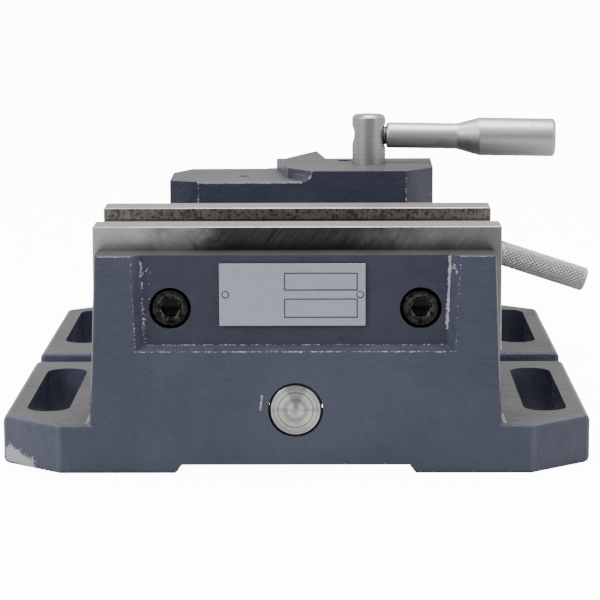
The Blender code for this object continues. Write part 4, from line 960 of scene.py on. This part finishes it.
def inkFrame(name, bounds):
    # A rectangle drawn as a closed band: four corners by inner and outer, front and back.
    left, right, bottom, top = bounds
    w, y = plate["line"], faceY / mm
    outer = np.array([(left, bottom), (right, bottom), (right, top), (left, top)], float)
    inner = outer + np.array([(w, w), (-w, w), (-w, -w), (w, -w)])
    ring = lambda flat, depth: np.column_stack([flat[:, 0], np.full(4, depth), flat[:, 1]])
    front, backSide = y - plate["ink"], y + 0.02
    points = np.stack([ring(outer, front), ring(inner, front), ring(inner, backSide), ring(outer, backSide),
                       ring(outer, front)])
    mesh = meshFromGrid(name, points * mm)
    return addPiece(name, mesh, None, [labelInk], body="base", smooth=10)


for index, bounds in enumerate(plate["boxes"]):
    inkFrame(f"labelFrame{index + 1}", bounds)
print("nameplate ready")

# Floor, light and camera.

def addStage():
    studio = {"floorHalf": 6.0, "world": 1.15, "front": (0.16, 0.16, 0.165), "ceiling": (0.85, 0.85, 0.85),
              "bounce": (0.62, 0.62, 0.62), "glow": 12.0}
    corners = np.array([(-1, -1), (1, -1), (1, 1), (-1, 1)]) * studio["floorHalf"]
    mesh = bpy.data.meshes.new("studioFloor")
    mesh.from_pydata([(x, y, -0.0002) for x, y in corners], [], [(0, 1, 2, 3)])
    material, tree, shader = newMaterial("studioPaper", Roughness=0.9)
    tone = noiseNode(tree, objectCoords(tree), 3.0, 2.0)
    seen = addNode(tree, "ShaderNodeLightPath").outputs["Is Camera Ray"]
    paper = mixColour(tree, tone, (0.88, 0.88, 0.88), (0.92, 0.92, 0.92))
    # the paper is lit white where it is looked at, and bounces less light back to the vise
    tree.links.new(mixColour(tree, seen, studio["bounce"], paper), shader.inputs["Base Color"])
    tree.links.new(mixColour(tree, seen, (0.0, 0.0, 0.0), (1.0, 1.0, 1.0)), shader.inputs["Emission Color"])
    shader.inputs["Emission Strength"].default_value = studio["glow"]
    mesh.materials.append(material)
    floor = bpy.data.objects.new("studioFloor", mesh)
    bpy.context.scene.collection.objects.link(floor)
    world = bpy.data.worlds.new("studio")
    bpy.context.scene.world = world
    world.use_nodes = True
    tree = world.node_tree
    background = tree.nodes["Background"]
    split = splitNode(tree, addNode(tree, "ShaderNodeTexCoord").outputs["Generated"])
    # white behind and above, dim in front
    rear = rampNode(tree, split[1], -0.85, 0.5)
    lit = mixColour(tree, rear, studio["front"], (1.0, 1.0, 1.0))
    over = rampNode(tree, split[2], 0.2, 0.75)
    tree.links.new(mixColour(tree, over, lit, studio["ceiling"]), background.inputs["Color"])
    looked = addNode(tree, "ShaderNodeLightPath").outputs["Is Camera Ray"]
    tree.links.new(mixValue(tree, looked, studio["world"], studio["glow"] + 1), background.inputs["Strength"])


lightSetups = {
    "keyLeft": {"place": (-0.8, -0.7, 0.7), "size": 0.5, "power": 8.5},
    "fillRight": {"place": (0.9, -0.6, 0.5), "size": 0.35, "power": 2.0},
    "topSoft": {"place": (0.05, -0.05, 1.0), "size": 0.6, "power": 8.5},
}


def addLights():
    for name, setup in lightSetups.items():
        data = bpy.data.lights.new(name, "AREA")
        data.shape, data.size, data.energy = "SQUARE", setup["size"], setup["power"]
        lamp = bpy.data.objects.new(name, data)
        lamp.location = setup["place"]
        lamp.rotation_euler = (Vector((0, 0, 0.04)) - Vector(setup["place"])).to_track_quat("-Z", "Y").to_euler()
        bpy.context.scene.collection.objects.link(lamp)


view = {"place": (0.01024, -1.03396, 0.19777), "pitch": 8.73, "yaw": 0.55, "roll": -0.19, "lens": 162.0}


def addCamera():
    pitch, yaw, roll = (math.radians(view[k]) for k in ("pitch", "yaw", "roll"))
    forward = Vector((-math.sin(yaw) * math.cos(pitch), math.cos(yaw) * math.cos(pitch), -math.sin(pitch)))
    right = forward.cross(Vector((0, 0, 1))).normalized()
    up = right.cross(forward)
    rightTurned = right * math.cos(roll) + up * math.sin(roll)
    upTurned = up * math.cos(roll) - right * math.sin(roll)
    data = bpy.data.cameras.new("camera")
    data.lens, data.sensor_width = view["lens"], 36.0
    data.clip_start, data.clip_end = 0.01, 50
    camera = bpy.data.objects.new("camera", data)
    rotation = Matrix((rightTurned, upTurned, -forward)).transposed().to_4x4()
    camera.matrix_world = Matrix.Translation(Vector(view["place"])) @ rotation
    bpy.context.scene.collection.objects.link(camera)
    bpy.context.scene.camera = camera


addStage()
addLights()
addCamera()
print("stage ready")
